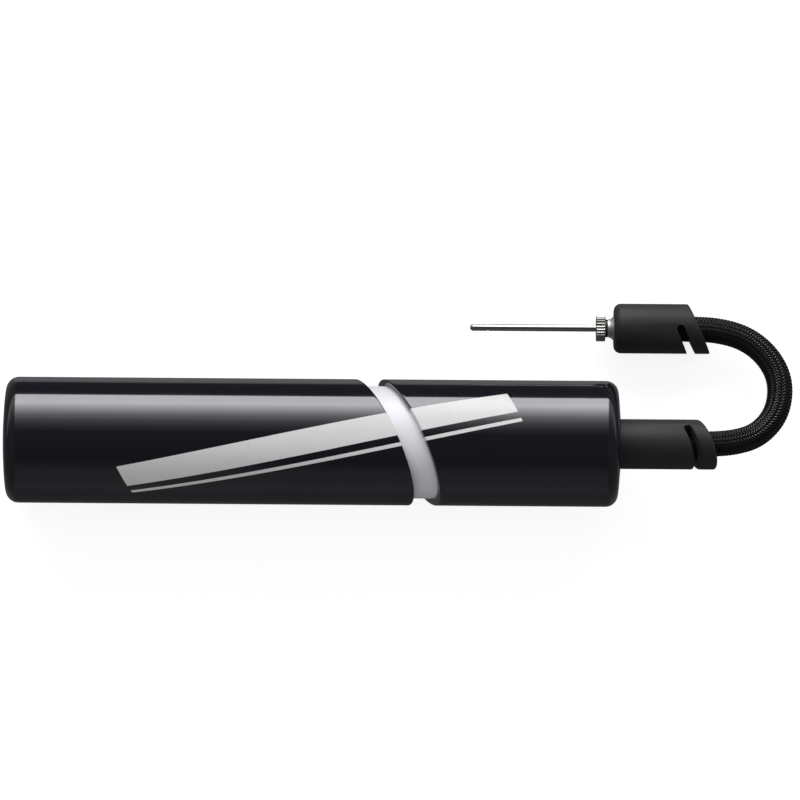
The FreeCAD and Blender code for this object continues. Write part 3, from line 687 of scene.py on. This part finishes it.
def metal(name, dark, light, rough, relief, extra=0.10, grain_scale=2000.0):
    material, tree, shader = common_finish(
        name, dark, light, rough, extra, relief, grain_scale, tone_scale=400.0
    )
    shader.inputs["Metallic"].default_value = 1
    return material


rod_steel = metal(
    "rod_steel",
    (0.50, 0.50, 0.51),
    (0.60, 0.60, 0.61),
    rough=0.22,
    relief=0.004,
    grain_scale=3000.0,
)
screw_steel = metal(
    "screw_steel",
    (0.42, 0.42, 0.43),
    (0.55, 0.55, 0.56),
    rough=0.3,
    relief=0.006,
    extra=0.2,
    grain_scale=2500.0,
)
nickel = metal(
    "nickel", (0.50, 0.49, 0.465), (0.58, 0.57, 0.54), rough=0.15, relief=0.0015
)
collar_nickel = metal(
    "collar_nickel", (0.40, 0.39, 0.37), (0.50, 0.49, 0.46), rough=0.24, relief=0.002
)
plated_brass = metal(
    "plated_brass", (0.80, 0.79, 0.76), (0.88, 0.87, 0.84), rough=0.50, relief=0.003
)
print("materials:", len(bpy.data.materials))

# %% [markdown]
# ## Braid finish
#
# A yarn is a flat bundle of nylon filaments.  Each braid mesh carries *across*, the
# place across its yarn from -0.5 to 0.5.  Fine ridges along the yarn come from it, and
# the yarn's colour holds painted shade, darker in the grooves between the ridges.

# %% Braid
FILAMENTS = 5
RIDGE_RELIEF = 0.02
RIDGE_STRENGTH = 0.35

braid_yarn, tree, shader = new_material("braid_yarn")
across = tree.nodes.new("ShaderNodeAttribute")
across.attribute_name = "across"
wave = math_node(tree, "MULTIPLY", across.outputs["Fac"], 2 * pi * FILAMENTS)
ridge = math_node(tree, "COSINE", wave)
ridge = spread(tree, ridge, 0.0, 1.0)
bumped(tree, shader, ridge, RIDGE_RELIEF, RIDGE_STRENGTH)
tone_node = use_group(tree, mottle, Scale=500.0)
# Painted shade: the yarn's colour is darker in the grooves between its filaments, times
# a random tone.
painted_groove_shade_and_tone = math_node(tree, "MULTIPLY", ridge, tone_node.outputs["Tone"])
nylon = tinted(tree, painted_groove_shade_and_tone, (0.002, 0.002, 0.002), (0.010, 0.010, 0.011))
tree.links.new(nylon, shader.inputs["Base Color"])
touch = use_group(tree, handling, Base=0.22, Extra=0.10)
tree.links.new(touch.outputs["Roughness"], shader.inputs["Roughness"])
shader.inputs["Specular IOR Level"].default_value = 0.5
print(FILAMENTS, "filaments to a yarn")

# %% [markdown]
# ## Shells
#
# Each shell is a lathe profile with a lip at its closed end.  Its mouth is spun square
# and then sheared, which keeps every wall line on the tube.  The handle also has its
# guide key inside, opposite the mouth's far point.

# %% Handle shell and front shell
SHELL_WALL = 1.75
FRONT_BORE = TUBE_R + 0.06
SHELL_BORE = SHELL_R - SHELL_WALL
LIP = 2.2
LIP_OPENING = SHELL_BORE - 3.15
END_ROUND = 3
LIP_BACK = 0.35
CORNER_BACK = 0.95
RIM_ROUND = 0.4
LATHE_FINE = 192
LIP_ROUND = 0.25
FLOOR_ROUND = 0.3
BORE_ROUND = 0.15
SHEAR_BACK = 3
KEY_HALF = 1.5
KEY_LENGTH = 10
KEY_BACK = 0.7
KEY_DEPTH = 0.85
KEY_ROOT = 0.5


def shell(way, mouth, bore):
    """A tube with a lip at one end; way is -1 for the handle's end of the pump."""
    face, corner, floor = (way * (END - back) for back in (LIP_BACK, CORNER_BACK, LIP))
    return lathe(
        [
            (face, LIP_OPENING, LIP_ROUND),
            (corner, SHELL_R, END_ROUND),
            (mouth, SHELL_R, RIM_ROUND),
            (mouth, bore, BORE_ROUND),
            (floor, bore, FLOOR_ROUND),
            (floor, LIP_OPENING, 0),
        ],
        LATHE_FINE,
    )


bm = shell(-1, HANDLE_CUT, SHELL_BORE)
lean(bm, HANDLE_CUT - SHEAR_BACK, CUT_TILT)
key_end = HANDLE_CUT - SHELL_R * tan(CUT_TILT) - KEY_BACK
key_low = (key_end - KEY_LENGTH, -KEY_HALF, -SHELL_BORE - KEY_ROOT)
key_high = (key_end, KEY_HALF, KEY_DEPTH - TUBE_R)
add_to(bm, block(key_low, key_high, edge=0.2))
handle_shell = into_place(to_object(bm, "handle_shell_gloss"), BARREL_SEAT)
settle(handle_shell, "handle", "gloss_shell", lacquer, "handle_shell")

bm = shell(1, FRONT_CUT, FRONT_BORE)
lean(bm, FRONT_CUT + SHEAR_BACK, CUT_TILT, after=False)
front_shell = into_place(to_object(bm, "front_shell_gloss"), BARREL_SEAT)
settle(front_shell, "barrel", "gloss_shell", lacquer, "front_shell")

# %% [markdown]
# ## Cylinder
#
# The white tube shows in the gap, and along most of its length once the handle is out.
# Its keyway and its six retaining holes are cut after it is spun.

# %% White cylinder
TUBE_BORE = TUBE_R - 1.8
PIN_HOLE = 2.0
PIN_DEPTH = 6
PIN_BACK = (3.75, 2.25)
KEYWAY_HALF = KEY_HALF + 0.15
KEYWAY_DEPTH = 1
KEYWAY_SPARE = 0.6


def pin_drill(station, turn):
    bm = bmesh.new()
    bmesh.ops.create_cone(
        bm,
        cap_ends=True,
        segments=32,
        radius1=PIN_HOLE,
        radius2=PIN_HOLE,
        depth=PIN_DEPTH,
        matrix=Matrix.Rotation(turn, 4, "X") @ Matrix.Translation((station, 0, TUBE_R)),
    )
    return bm


bm = lathe(
    [
        (tube_low.x, TUBE_BORE, 0),
        (tube_low.x, TUBE_R, 0.2),
        (tube_high.x, TUBE_R, 0.2),
        (tube_high.x, TUBE_BORE, 0),
    ],
    LATHE_FINE,
)
cylinder = to_object(bm, "cylinder_white")
keyway_low = (tube_low.x - 1, -KEYWAY_HALF, -SHELL_R)
keyway_high = (key_end + KEYWAY_SPARE, KEYWAY_HALF, KEYWAY_DEPTH - TUBE_R)
cut(
    cylinder,
    block(keyway_low, keyway_high),
    *[
        pin_drill(station, radians(120 * i))
        for station in (tube_low.x + PIN_BACK[0], tube_high.x - PIN_BACK[1])
        for i in range(3)
    ],
)
into_place(cylinder, BARREL_SEAT, sharp=25)
settle(cylinder, "barrel", "white_cylinder", white_plastic, "cylinder")

# %% [markdown]
# ## End caps
#
# The handle's cap shows at the closed end.  The front cap is the ring that the hose's
# sleeve turns in.  Each carries on the slight dome of the shell's end, and is flat in
# its middle.

# %% Caps
FLAT_R = 8
FIT = 0.1
DISC_R = LIP_OPENING - FIT
SCREW_R = 3.6
SLEEVE_HOLE = SLEEVE_R + 0.25
EDGE_ROUND = 0.3
DOME_ROUND = 1.5
HANDLE_STEP = 1.8
FRONT_STEP = 2
BOSS_R = 6.5
SOCKET_R = 4.05
SHANK_HOLE = 2.1
LATHE_CAP = 96

boss_end = box_mm("handle_cap")[1].x
rod_end = box_mm("piston_rod")[0].x
screw_low, screw_high = box_mm("handle_screw")
web = screw_low.x + 2.6
step = LIP + HANDLE_STEP - END
bm = lathe(
    [
        (-END, SCREW_R + FIT, EDGE_ROUND),
        (-END, FLAT_R, DOME_ROUND),
        (LIP_BACK - END, DISC_R, EDGE_ROUND),
        (LIP - END, DISC_R, 0),
        (LIP - END, SHELL_BORE - FIT, 0),
        (step, SHELL_BORE - FIT, 0),
        (step, BOSS_R, EDGE_ROUND),
        (boss_end, BOSS_R, EDGE_ROUND),
        (boss_end, SOCKET_R, 0),
        (rod_end, SOCKET_R, 0),
        (rod_end, SHANK_HOLE, 0),
        (web, SHANK_HOLE, 0),
        (web, SCREW_R + FIT, 0),
    ],
    LATHE_CAP,
)
handle_cap = into_place(to_object(bm, "handle_cap_black"), BARREL_SEAT, sharp=30)
settle(handle_cap, "handle", "cap_black", cap_plastic, "handle_cap")

bm = lathe(
    [
        (END - LIP - FRONT_STEP, SLEEVE_HOLE, 0),
        (END - LIP - FRONT_STEP, FRONT_BORE - FIT, 0),
        (END - LIP, FRONT_BORE - FIT, 0),
        (END - LIP, DISC_R, 0),
        (END - LIP_BACK, DISC_R, EDGE_ROUND),
        (END, FLAT_R, EDGE_ROUND),
        (END, SLEEVE_HOLE, 0.2),
    ],
    LATHE_CAP,
)
front_cap = into_place(to_object(bm, "front_cap_black"), BARREL_SEAT, sharp=30)
settle(front_cap, "barrel", "cap_black", cap_plastic, "front_cap")

# %% [markdown]
# A socket-head screw in the middle of the handle's cap holds the piston's rod.  Its
# socket is a six-sided hole, cut from the head.

# %% The handle's screw
HEAD = 2.3
SHANK_R = 2
POINT = 0.6
POINT_R = 1.5
HEX_R = 1.73
HEX_DEPTH = 1.6
bm = lathe(
    [
        (screw_low.x, 0, 0),
        (screw_low.x, SCREW_R, EDGE_ROUND),
        (screw_low.x + HEAD, SCREW_R, 0),
        (screw_low.x + HEAD, SHANK_R, 0),
        (screw_high.x - POINT, SHANK_R, 0),
        (screw_high.x, POINT_R, 0),
        (screw_high.x, 0, 0),
    ],
    64,
)
handle_screw = to_object(bm, "handle_screw_steel")
bm = bmesh.new()
bmesh.ops.create_cone(
    bm,
    cap_ends=True,
    segments=6,
    radius1=HEX_R,
    radius2=HEX_R,
    depth=2 * HEX_DEPTH,
    matrix=Matrix.Translation((screw_low.x, 0, 0)) @ Matrix.Rotation(pi / 2, 4, "Y"),
)
cut(handle_screw, bm)
into_place(handle_screw, BARREL_SEAT, sharp=30)
settle(handle_screw, "handle", "screw_steel", screw_steel, "handle_screw")

# %% [markdown]
# ## Rubber sleeves
#
# Both ends of the hose have the same soft moulding.  Its end is slanted, and one saw cut
# lets it bend with the hose.  The cut is a slab with a round bottom, the shape that a
# drilled hole and a saw leave.  Rubber has no crisp edges, so they are softened after.

# %% Sleeves
SLEEVE_REACH = 23.9
SLOT_BACK = 5.3
SLOT_WIDTH = 2.4
BORE_R = HOSE_R + 0.15
POCKET_R = 5.05
FERRULE_END = 4.9
MOUTH_ROUND = 0.45
MOUTH_FLARE = 0.7
FLARE_DEPTH = 4
SLEEVE_SHEAR = 2.5
SOFT_EDGE = 0.18
LATHE_SLEEVE = 96


def slot_cutter(middle):
    """A round-bottomed slab that leans like the sleeve's end."""
    radius = SLOT_WIDTH / 2 * cos(SLEEVE_TILT)
    bm = bmesh.new()
    bmesh.ops.create_circle(bm, cap_ends=False, segments=32, radius=radius)
    bmesh.ops.rotate(bm, verts=bm.verts[:], matrix=Matrix.Rotation(pi / 2, 3, "X"))
    upper = [v for v in bm.verts if v.co.z > 1e-5]
    bmesh.ops.translate(bm, verts=upper, vec=(0, 0, SLEEVE_R + 2))
    bmesh.ops.contextual_create(bm, geom=bm.edges[:])
    bmesh.ops.translate(bm, verts=bm.verts[:], vec=(0, -SLEEVE_R - 1, 0))
    grown = bmesh.ops.extrude_face_region(bm, geom=bm.faces[:])
    moved = [g for g in grown["geom"] if isinstance(g, bmesh.types.BMVert)]
    bmesh.ops.translate(bm, verts=moved, vec=(0, 2 * SLEEVE_R + 2, 0))
    bmesh.ops.rotate(bm, verts=bm.verts[:], matrix=Matrix.Rotation(SLEEVE_TILT, 3, "Y"))
    bmesh.ops.translate(bm, verts=bm.verts[:], vec=(middle, 0, 0))
    bmesh.ops.recalc_face_normals(bm, faces=bm.faces[:])
    return bm


def sleeve(name, start, pocket_end, mouth, seat, front_round):
    """mouth is the list of corners at the sleeve's front, from the pocket outwards."""
    end = start + SLEEVE_REACH
    bm = lathe(
        mouth
        + [
            (mouth[-1][0], SLEEVE_R, front_round),
            (end, SLEEVE_R, MOUTH_ROUND),
            (end, BORE_R + MOUTH_FLARE, 0.2),
            (end - FLARE_DEPTH, BORE_R, 0),
            (pocket_end, BORE_R, 0),
            (pocket_end, POCKET_R, 0),
        ],
        LATHE_SLEEVE,
    )
    lean(bm, end - SLEEVE_SHEAR, SLEEVE_TILT)
    piece = to_object(bm, name)
    cut(piece, slot_cutter(end - SLOT_BACK))
    soften(piece, SOFT_EDGE)
    return into_place(piece, seat, sharp=50)


root_sleeve = sleeve(
    "root_sleeve_rubber",
    END,
    HOSE_ROUTE[0][0] + FERRULE_END,
    [(box_mm("root_sleeve")[0].x, POCKET_R, 0)],
    ROOT_SEAT,
    0,
)
settle(root_sleeve, "hose", "sleeve_rubber", sleeve_rubber, "root_sleeve")

NOSE_FLARE = 3.5
FRONT_ROUND = 2.0
front_wall = holder_low.x + 1.1
holder_sleeve = sleeve(
    "holder_sleeve_rubber",
    holder_low.x,
    HOSE_ROUTE[-1][0] + FERRULE_END,
    [
        (front_wall, POCKET_R, 0),
        (front_wall, NOSE_FLARE + FIT, 0),
        (holder_low.x, NOSE_FLARE + FIT, EDGE_ROUND),
    ],
    HOLDER_SEAT,
    FRONT_ROUND,
)
settle(holder_sleeve, "hose", "sleeve_rubber", sleeve_rubber, "holder_sleeve")

# %% [markdown]
# ## Needle and its holder
#
# The metal nose in the sleeve flares towards the rubber.  A thin rubber washer seals it
# against the needle's collar.

# %% Nose and washer
nose_low, nose_high = box_mm("holder_fitting")
NOSE_R = 2.5
THREAD_R = 1.95
THREAD_DEPTH = 7
AIR_R = 1.0
NECK = 0.9
BASE_R = 5.0
BARB_R = 1.8
LATHE_NOSE = 64
base_end = HOSE_ROUTE[-1][0] - FIT
bm = lathe(
    [
        (nose_low.x + THREAD_DEPTH, AIR_R, 0),
        (nose_low.x + THREAD_DEPTH, THREAD_R, 0),
        (nose_low.x, THREAD_R, 0.1),
        (nose_low.x, NOSE_R, 0.12),
        (nose_low.x + NECK, NOSE_R, NECK),
        (holder_low.x, NOSE_FLARE, 0.2),
        (front_wall, NOSE_FLARE, 0),
        (front_wall, BASE_R, 0),
        (base_end, BASE_R, 0),
        (base_end, BARB_R, 0),
        (nose_high.x, BARB_R, 0.2),
        (nose_high.x, AIR_R, 0),
    ],
    LATHE_NOSE,
)
nose = into_place(to_object(bm, "holder_nose_plated"), HOLDER_SEAT, sharp=35)
settle(nose, "hose", "plated_brass", plated_brass, "holder_fitting")

bm = lathe(
    [
        (washer_low.x, THREAD_R, 0.1),
        (washer_low.x, NOSE_R, 0.2),
        (washer_high.x, NOSE_R, 0.2),
        (washer_high.x, THREAD_R, 0.1),
    ],
    48,
)
washer = into_place(to_object(bm, "needle_washer_rubber"), HOLDER_SEAT)
settle(washer, "needle_seal", "soft_rubber", soft_rubber, "needle_washer")

# %% [markdown]
# The needle's collar has straight knurls, a wave round its rim that pulls the rim's
# points inwards.  Its stem screws into the nose.

# %% Needle collar
COLLAR_R = (collar_high.z - collar_low.z) / 2
KNURLS = 26
PER_KNURL = 12
KNURL_DEPTH = 0.34
TUBE_OUT = (tip_high.z - tip_low.z) / 2
SPIGOT_R = TUBE_OUT - 0.2
SPIGOT_HOLE = SPIGOT_R + 0.02
SPIGOT_SEAT = 3
RIM_DEPTH = 0.3
STEM_R = 1.9


def knurl(bm):
    """Press straight, rounded grooves in the collar's rim."""
    for vertex in bm.verts:
        place = vertex.co
        radius = (place.y**2 + place.z**2) ** 0.5
        if radius < COLLAR_R - RIM_DEPTH:
            continue
        turn = atan2(place.y, place.z) / (2 * pi) * KNURLS
        depth = KNURL_DEPTH * sin(pi * turn) ** 2
        shrink = (radius - depth) / radius
        vertex.co = (place.x, place.y * shrink, place.z * shrink)


bm = lathe(
    [
        (collar_low.x, SPIGOT_HOLE, 0),
        (collar_low.x, COLLAR_R, 0.22),
        (washer_low.x, COLLAR_R, 0.22),
        (washer_low.x, STEM_R, 0),
        (collar_high.x - 0.5, STEM_R, 0),
        (collar_high.x, POINT_R, 0),
        (collar_high.x, AIR_R, 0),
        (collar_low.x + SPIGOT_SEAT, AIR_R, 0),
        (collar_low.x + SPIGOT_SEAT, SPIGOT_HOLE, 0),
    ],
    KNURLS * PER_KNURL,
)
knurl(bm)
hub = into_place(to_object(bm, "needle_hub_nickel"), HOLDER_SEAT, sharp=30)
settle(hub, "needle", "needle_nickel", collar_nickel, "needle_hub")

# %% [markdown]
# The needle itself ends in a dome, with one side eye for the air.

# %% Needle
TIP_WALL = 1.0
TIP_ROUND = 0.9
NEEDLE_BORE = 0.5
EYE_R = 0.45
EYE_BACK = 5
EYE_DRILL = 3
bm = lathe(
    [
        (tip_low.x + TIP_WALL, 0, 0),
        (tip_low.x, 0, 0),
        (tip_low.x, TUBE_OUT, TIP_ROUND),
        (collar_low.x, TUBE_OUT, 0),
        (collar_low.x, SPIGOT_R, 0),
        (tip_high.x, SPIGOT_R, 0),
        (tip_high.x, NEEDLE_BORE, 0),
        (tip_low.x + TIP_WALL, NEEDLE_BORE, 0),
    ],
    48,
)
needle = to_object(bm, "needle_tube_nickel")
bm = bmesh.new()
bmesh.ops.create_cone(
    bm,
    cap_ends=True,
    segments=24,
    radius1=EYE_R,
    radius2=EYE_R,
    depth=EYE_DRILL,
    matrix=Matrix.Translation((tip_low.x + EYE_BACK, 0, 0)),
)
cut(needle, bm)
into_place(needle, HOLDER_SEAT, sharp=35)
settle(needle, "needle", "needle_nickel", nickel, "needle_tube")

# %% [markdown]
# ## Braid
#
# Sixteen yarns wind one way and sixteen the other, each passing over two and under the
# next two, which gives the herringbone rows of a braided hose.  One yarn is a small flat
# ring of points, spun with a step along the axis, which gives a whole helix at once.
# Copies are turned round the axis.  Where one way lies on top depends only on the place
# round the hose, so one cosine raises and lowers them all.  Last, the straight braid is
# bent along the hose's line.

# %% Yarns
YARNS = 16
LEAD = 13.2
YARN_HALF_WIDTH = 0.30
YARN_HALF_THICK = 0.15
YARN_RISE = 0.18
BRAID_R = HOSE_R - YARN_RISE - YARN_HALF_THICK
STEPS_PER_CROSSING = 3


def one_yarn(length, way):
    crossing = LEAD / (2 * YARNS)
    count = round(length / crossing) * STEPS_PER_CROSSING
    bm = bmesh.new()
    bmesh.ops.create_circle(bm, cap_ends=True, segments=6, radius=1)
    place = Matrix.Translation((0, 0, BRAID_R)) @ Matrix.Rotation(pi / 2, 4, "X")
    flat = Matrix.Diagonal((YARN_HALF_WIDTH, YARN_HALF_THICK, 1, 1))
    shape = place @ flat
    bmesh.ops.transform(bm, matrix=shape, space=Matrix.Identity(4), verts=bm.verts[:])
    bmesh.ops.spin(
        bm,
        geom=bm.faces[:],
        cent=(0, 0, 0),
        axis=(1, 0, 0),
        dvec=(length / count, 0, 0),
        angle=way * 2 * pi * length / LEAD,
        steps=count,
    )
    return bm


def straight_braid(length, way):
    bm = one_yarn(length, way)
    first = bm.verts[:] + bm.edges[:] + bm.faces[:]
    for i in range(1, YARNS):
        copy = bmesh.ops.duplicate(bm, geom=first)
        verts = [g for g in copy["geom"] if isinstance(g, bmesh.types.BMVert)]
        turn = Matrix.Rotation(2 * pi * i / YARNS, 3, "X")
        bmesh.ops.rotate(bm, verts=verts, matrix=turn)
    bmesh.ops.recalc_face_normals(bm, faces=bm.faces[:])
    return bm


def frames_along(points):
    """A right-angled frame at each point, carried along without twist."""
    ahead = np.gradient(points, axis=0)
    ahead /= np.linalg.norm(ahead, axis=1)[:, None]
    side = np.zeros_like(points)
    side[0] = np.cross((0, 0, 1), ahead[0])
    for i in range(1, len(points)):
        side[i] = side[i - 1] - ahead[i] * side[i - 1].dot(ahead[i])
        side[i] /= np.linalg.norm(side[i])
    return side, np.cross(ahead, side)


def bend(piece, points, way):
    """Raise the yarns at their crossings, then lay the braid along the line."""
    strides = np.linalg.norm(np.diff(points, axis=0), axis=1)
    run = np.concatenate([[0], np.cumsum(strides)])
    side, up = frames_along(points)
    mesh = piece.data
    spots = np.zeros(len(mesh.vertices) * 3)
    mesh.vertices.foreach_get("co", spots)
    spots = spots.reshape(-1, 3)
    turn = np.arctan2(-spots[:, 1], spots[:, 2]) / (2 * pi)
    centre = (spots[:, 0] / LEAD - way * turn) * YARNS
    offset = centre - np.round(centre)
    layer = mesh.attributes.new("across", "FLOAT", "POINT")
    layer.data.foreach_set("value", offset.astype(np.float32))
    rise = way * YARN_RISE * np.cos(pi * YARNS * turn - pi / 4)
    radius = np.hypot(spots[:, 1], spots[:, 2])
    spots[:, 1:] *= ((radius + rise) / radius)[:, None]
    at = np.clip(spots[:, 0] * MM, 0, run[-1])
    out = np.zeros_like(spots)
    for axis in range(3):
        out[:, axis] = np.interp(at, run, points[:, axis])
        out[:, axis] += np.interp(at, run, side[:, axis]) * spots[:, 1] * MM
        out[:, axis] += np.interp(at, run, up[:, axis]) * spots[:, 2] * MM
    mesh.vertices.foreach_set("co", out.reshape(-1))
    mesh.update()


for name, way in (("braid_right", 1), ("braid_left", -1)):
    piece = to_object(straight_braid(hose_length / MM, way), name)
    bend(piece, line_points, way)
    piece.data.shade_smooth()
    settle(piece, "hose", "braid", braid_yarn, "hose_braid")
settle(hose_core, "hose", "soft_rubber", soft_rubber, "hose_tube")

# %% [markdown]
# ## Valve spring
#
# The ball's spring is the one piece inside that changes its shape, because it shortens
# as the ball lifts.  A ring of points is spun with a step along the axis, as a yarn
# was, which gives the whole coil.

# %% Valve spring
WIRE_R = 0.25
COIL_TURNS = 4
STEPS_PER_TURN = 48

spring_low, spring_high = box_mm("valve_spring")
spring_reach = spring_high.x - spring_low.x
coil_r = (spring_high.z - spring_low.z) / 2 - WIRE_R
bm = bmesh.new()
bmesh.ops.create_circle(bm, cap_ends=True, segments=12, radius=WIRE_R)
place = Matrix.Translation((spring_low.x + WIRE_R, 0, coil_r))
place @= Matrix.Rotation(pi / 2, 4, "X")
bmesh.ops.transform(bm, matrix=place, space=Matrix.Identity(4), verts=bm.verts[:])
coil_steps = COIL_TURNS * STEPS_PER_TURN
bmesh.ops.spin(
    bm,
    geom=bm.faces[:],
    cent=(0, 0, 0),
    axis=(1, 0, 0),
    dvec=((spring_reach - 2 * WIRE_R) / coil_steps, 0, 0),
    angle=2 * pi * COIL_TURNS,
    steps=coil_steps,
)
bmesh.ops.recalc_face_normals(bm, faces=bm.faces[:])
spring = into_place(to_object(bm, "valve_spring_wire"), (0, AXIS_Z, 0))
settle(spring, "barrel", "screw_steel", screw_steel, "valve_spring")
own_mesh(spring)

# %% [markdown]
# ## Inner pieces
#
# The other pieces inside the barrel keep their design shape.  Each takes the finish of
# its material slot.

# %% Finishes for the carried-over pieces
SLOT_FINISH = {
    "inner_grey": inner_plastic,
    "bush_white": bush_plastic,
    "soft_rubber": soft_rubber,
    "seal_rubber": seal_rubber,
    "rod_steel": rod_steel,
    "screw_steel": screw_steel,
    "plated_brass": plated_brass,
    "cap_black": cap_plastic,
    "gloss_shell": lacquer,
    "white_cylinder": white_plastic,
    "sleeve_rubber": sleeve_rubber,
    "braid": braid_yarn,
    "needle_nickel": nickel,
}
for part in frame["record"]["subparts"]:
    node = frame["nodes"][part["node"]]
    for holder in node.material_slots:
        holder.material = SLOT_FINISH[part["material_slot"]]
print("finished:", len(frame["nodes"]), "design pieces")

# %% [markdown]
# The hose leaves the front cap, and everything on it travels with it.

# %% [markdown]
# ## Table and light
#
# The table is plain and pale.  Most of what the camera sees of it is its own glow, so
# that it stays even to its edges.

# %% Table
TABLE_GLOW = 0.83

bm = bmesh.new()
bmesh.ops.create_grid(bm, x_segments=1, y_segments=1, size=3)
table = to_object(bm, "table")
table_paint, tree, shader = new_material("table_paint")
speck = use_group(tree, mottle, Scale=6.0)
tree.links.new(
    tinted(tree, speck.outputs["Tone"], (0.38, 0.38, 0.385), (0.41, 0.41, 0.41)),
    shader.inputs["Base Color"],
)
shader.inputs["Roughness"].default_value = 0.8
shader.inputs["Specular IOR Level"].default_value = 0.1
shader.inputs["Emission Color"].default_value = (1, 1, 1, 1)
seen = tree.nodes.new("ShaderNodeLightPath").outputs["Is Camera Ray"]
glow = math_node(tree, "MULTIPLY", seen, TABLE_GLOW)
tree.links.new(glow, shader.inputs["Emission Strength"])
table.data.materials.append(table_paint)
table.visible_glossy = False
print("table glow", TABLE_GLOW)

# %% [markdown]
# Gloss lacquer mirrors whatever surrounds it, so the surroundings are one world shader.
# It has a bright panel on the far side that fades upwards and a dim one on the near
# side, and both fade towards the pump's two ends.  PANEL lists a level for each angle
# from straight up, with the far side positive.  Rays that light matt surfaces see an
# even pale sky instead.

# %% World
world = bpy.data.worlds.new("studio")
bpy.context.scene.world = world
world.use_nodes = True
tree = world.node_tree
background = tree.nodes["Background"]
ways = tree.nodes.new("ShaderNodeTexCoord")
split = tree.nodes.new("ShaderNodeSeparateXYZ")
tree.links.new(ways.outputs["Generated"], split.inputs[0])
lean_angle = math_node(tree, "ARCTAN2", split.outputs["Y"], split.outputs["Z"])
dial = math_node(tree, "MULTIPLY_ADD", lean_angle, 0.5 / pi, 0.5)

PANEL = [
    (-180, 0.06),
    (-140, 0.06),
    (-112, 0.13),
    (-94, 0.24),
    (-60, 0.23),
    (-36, 0.05),
    (16, 0.05),
    (26, 0.32),
    (37, 0.9),
    (49, 2.4),
    (61, 5.8),
    (73, 9.8),
    (82, 8.6),
    (91.5, 7.8),
    (93, 0.03),
    (130, 0.03),
    (137, 0.40),
    (158, 0.18),
    (180, 0.09),
]
PEAK = 10
SIDE_GLOW = 0.012
EVEN_SKY = 0.42
SKY_COLOUR = (0.98, 0.99, 1.0, 1)
BLUER = 1.03
FADE_START = 0.16
FADE_END = 0.30
FADE_LEFT = 0.10
ramp = tree.nodes.new("ShaderNodeValToRGB")
tree.links.new(dial, ramp.inputs["Fac"])
marks = ramp.color_ramp.elements
while len(marks) > 1:
    marks.remove(marks[-1])
for i, (degrees, level) in enumerate(PANEL):
    place = 0.5 + degrees / 360
    mark = marks[0] if i == 0 else marks.new(place)
    mark.position = place
    mark.color = (level / PEAK, level / PEAK, level / PEAK * BLUER, 1)

sideways = math_node(tree, "ABSOLUTE", split.outputs["X"])
fade = tree.nodes.new("ShaderNodeMapRange")
fade.interpolation_type = "SMOOTHSTEP"
tree.links.new(sideways, fade.inputs["Value"])
fade.inputs["From Min"].default_value = FADE_START
fade.inputs["From Max"].default_value = FADE_END
fade.inputs["To Min"].default_value = 1
fade.inputs["To Max"].default_value = FADE_LEFT
mirrored = tree.nodes.new("ShaderNodeMix")
mirrored.data_type = "RGBA"
tree.links.new(fade.outputs["Result"], mirrored.inputs["Factor"])
mirrored.inputs["A"].default_value = (SIDE_GLOW, SIDE_GLOW, SIDE_GLOW, 1)
tree.links.new(ramp.outputs["Color"], mirrored.inputs["B"])

is_glossy = tree.nodes.new("ShaderNodeLightPath").outputs["Is Glossy Ray"]
strength = spread(tree, is_glossy, EVEN_SKY, PEAK)
tree.links.new(strength, background.inputs["Strength"])
sky = tree.nodes.new("ShaderNodeMix")
sky.data_type = "RGBA"
tree.links.new(is_glossy, sky.inputs["Factor"])
sky.inputs["A"].default_value = SKY_COLOUR
tree.links.new(mirrored.outputs["Result"], sky.inputs["B"])
tree.links.new(sky.outputs["Result"], background.inputs["Color"])
print("world: gloss sees", len(PANEL), "levels, matt surfaces", EVEN_SKY)

# %% [markdown]
# Two soft lamps light the pump, a wide one from the far side and a weak one overhead.
# Neither shows in the gloss.

# %% Lamps
LAMP_AIM = Vector((0.02, 0.01, 0))


def lamp(name, place, size, power):
    data = bpy.data.lights.new(name, "AREA")
    data.shape = "RECTANGLE"
    data.size, data.size_y = size
    data.energy = power
    light = bpy.data.objects.new(name, data)
    light.location = place
    aim = LAMP_AIM - Vector(place)
    light.rotation_euler = aim.to_track_quat("-Z", "Y").to_euler()
    light.visible_camera = False
    light.visible_glossy = False
    bpy.context.collection.objects.link(light)
    print(f"{name}: {power} W")


lamp("far_panel", (0.0, 1.1, 0.65), (1.6, 0.7), 15)
lamp("overhead", (0.0, 0.1, 1.3), (1.4, 1.4), 1)
bpy.context.scene.view_settings.view_transform = "Standard"
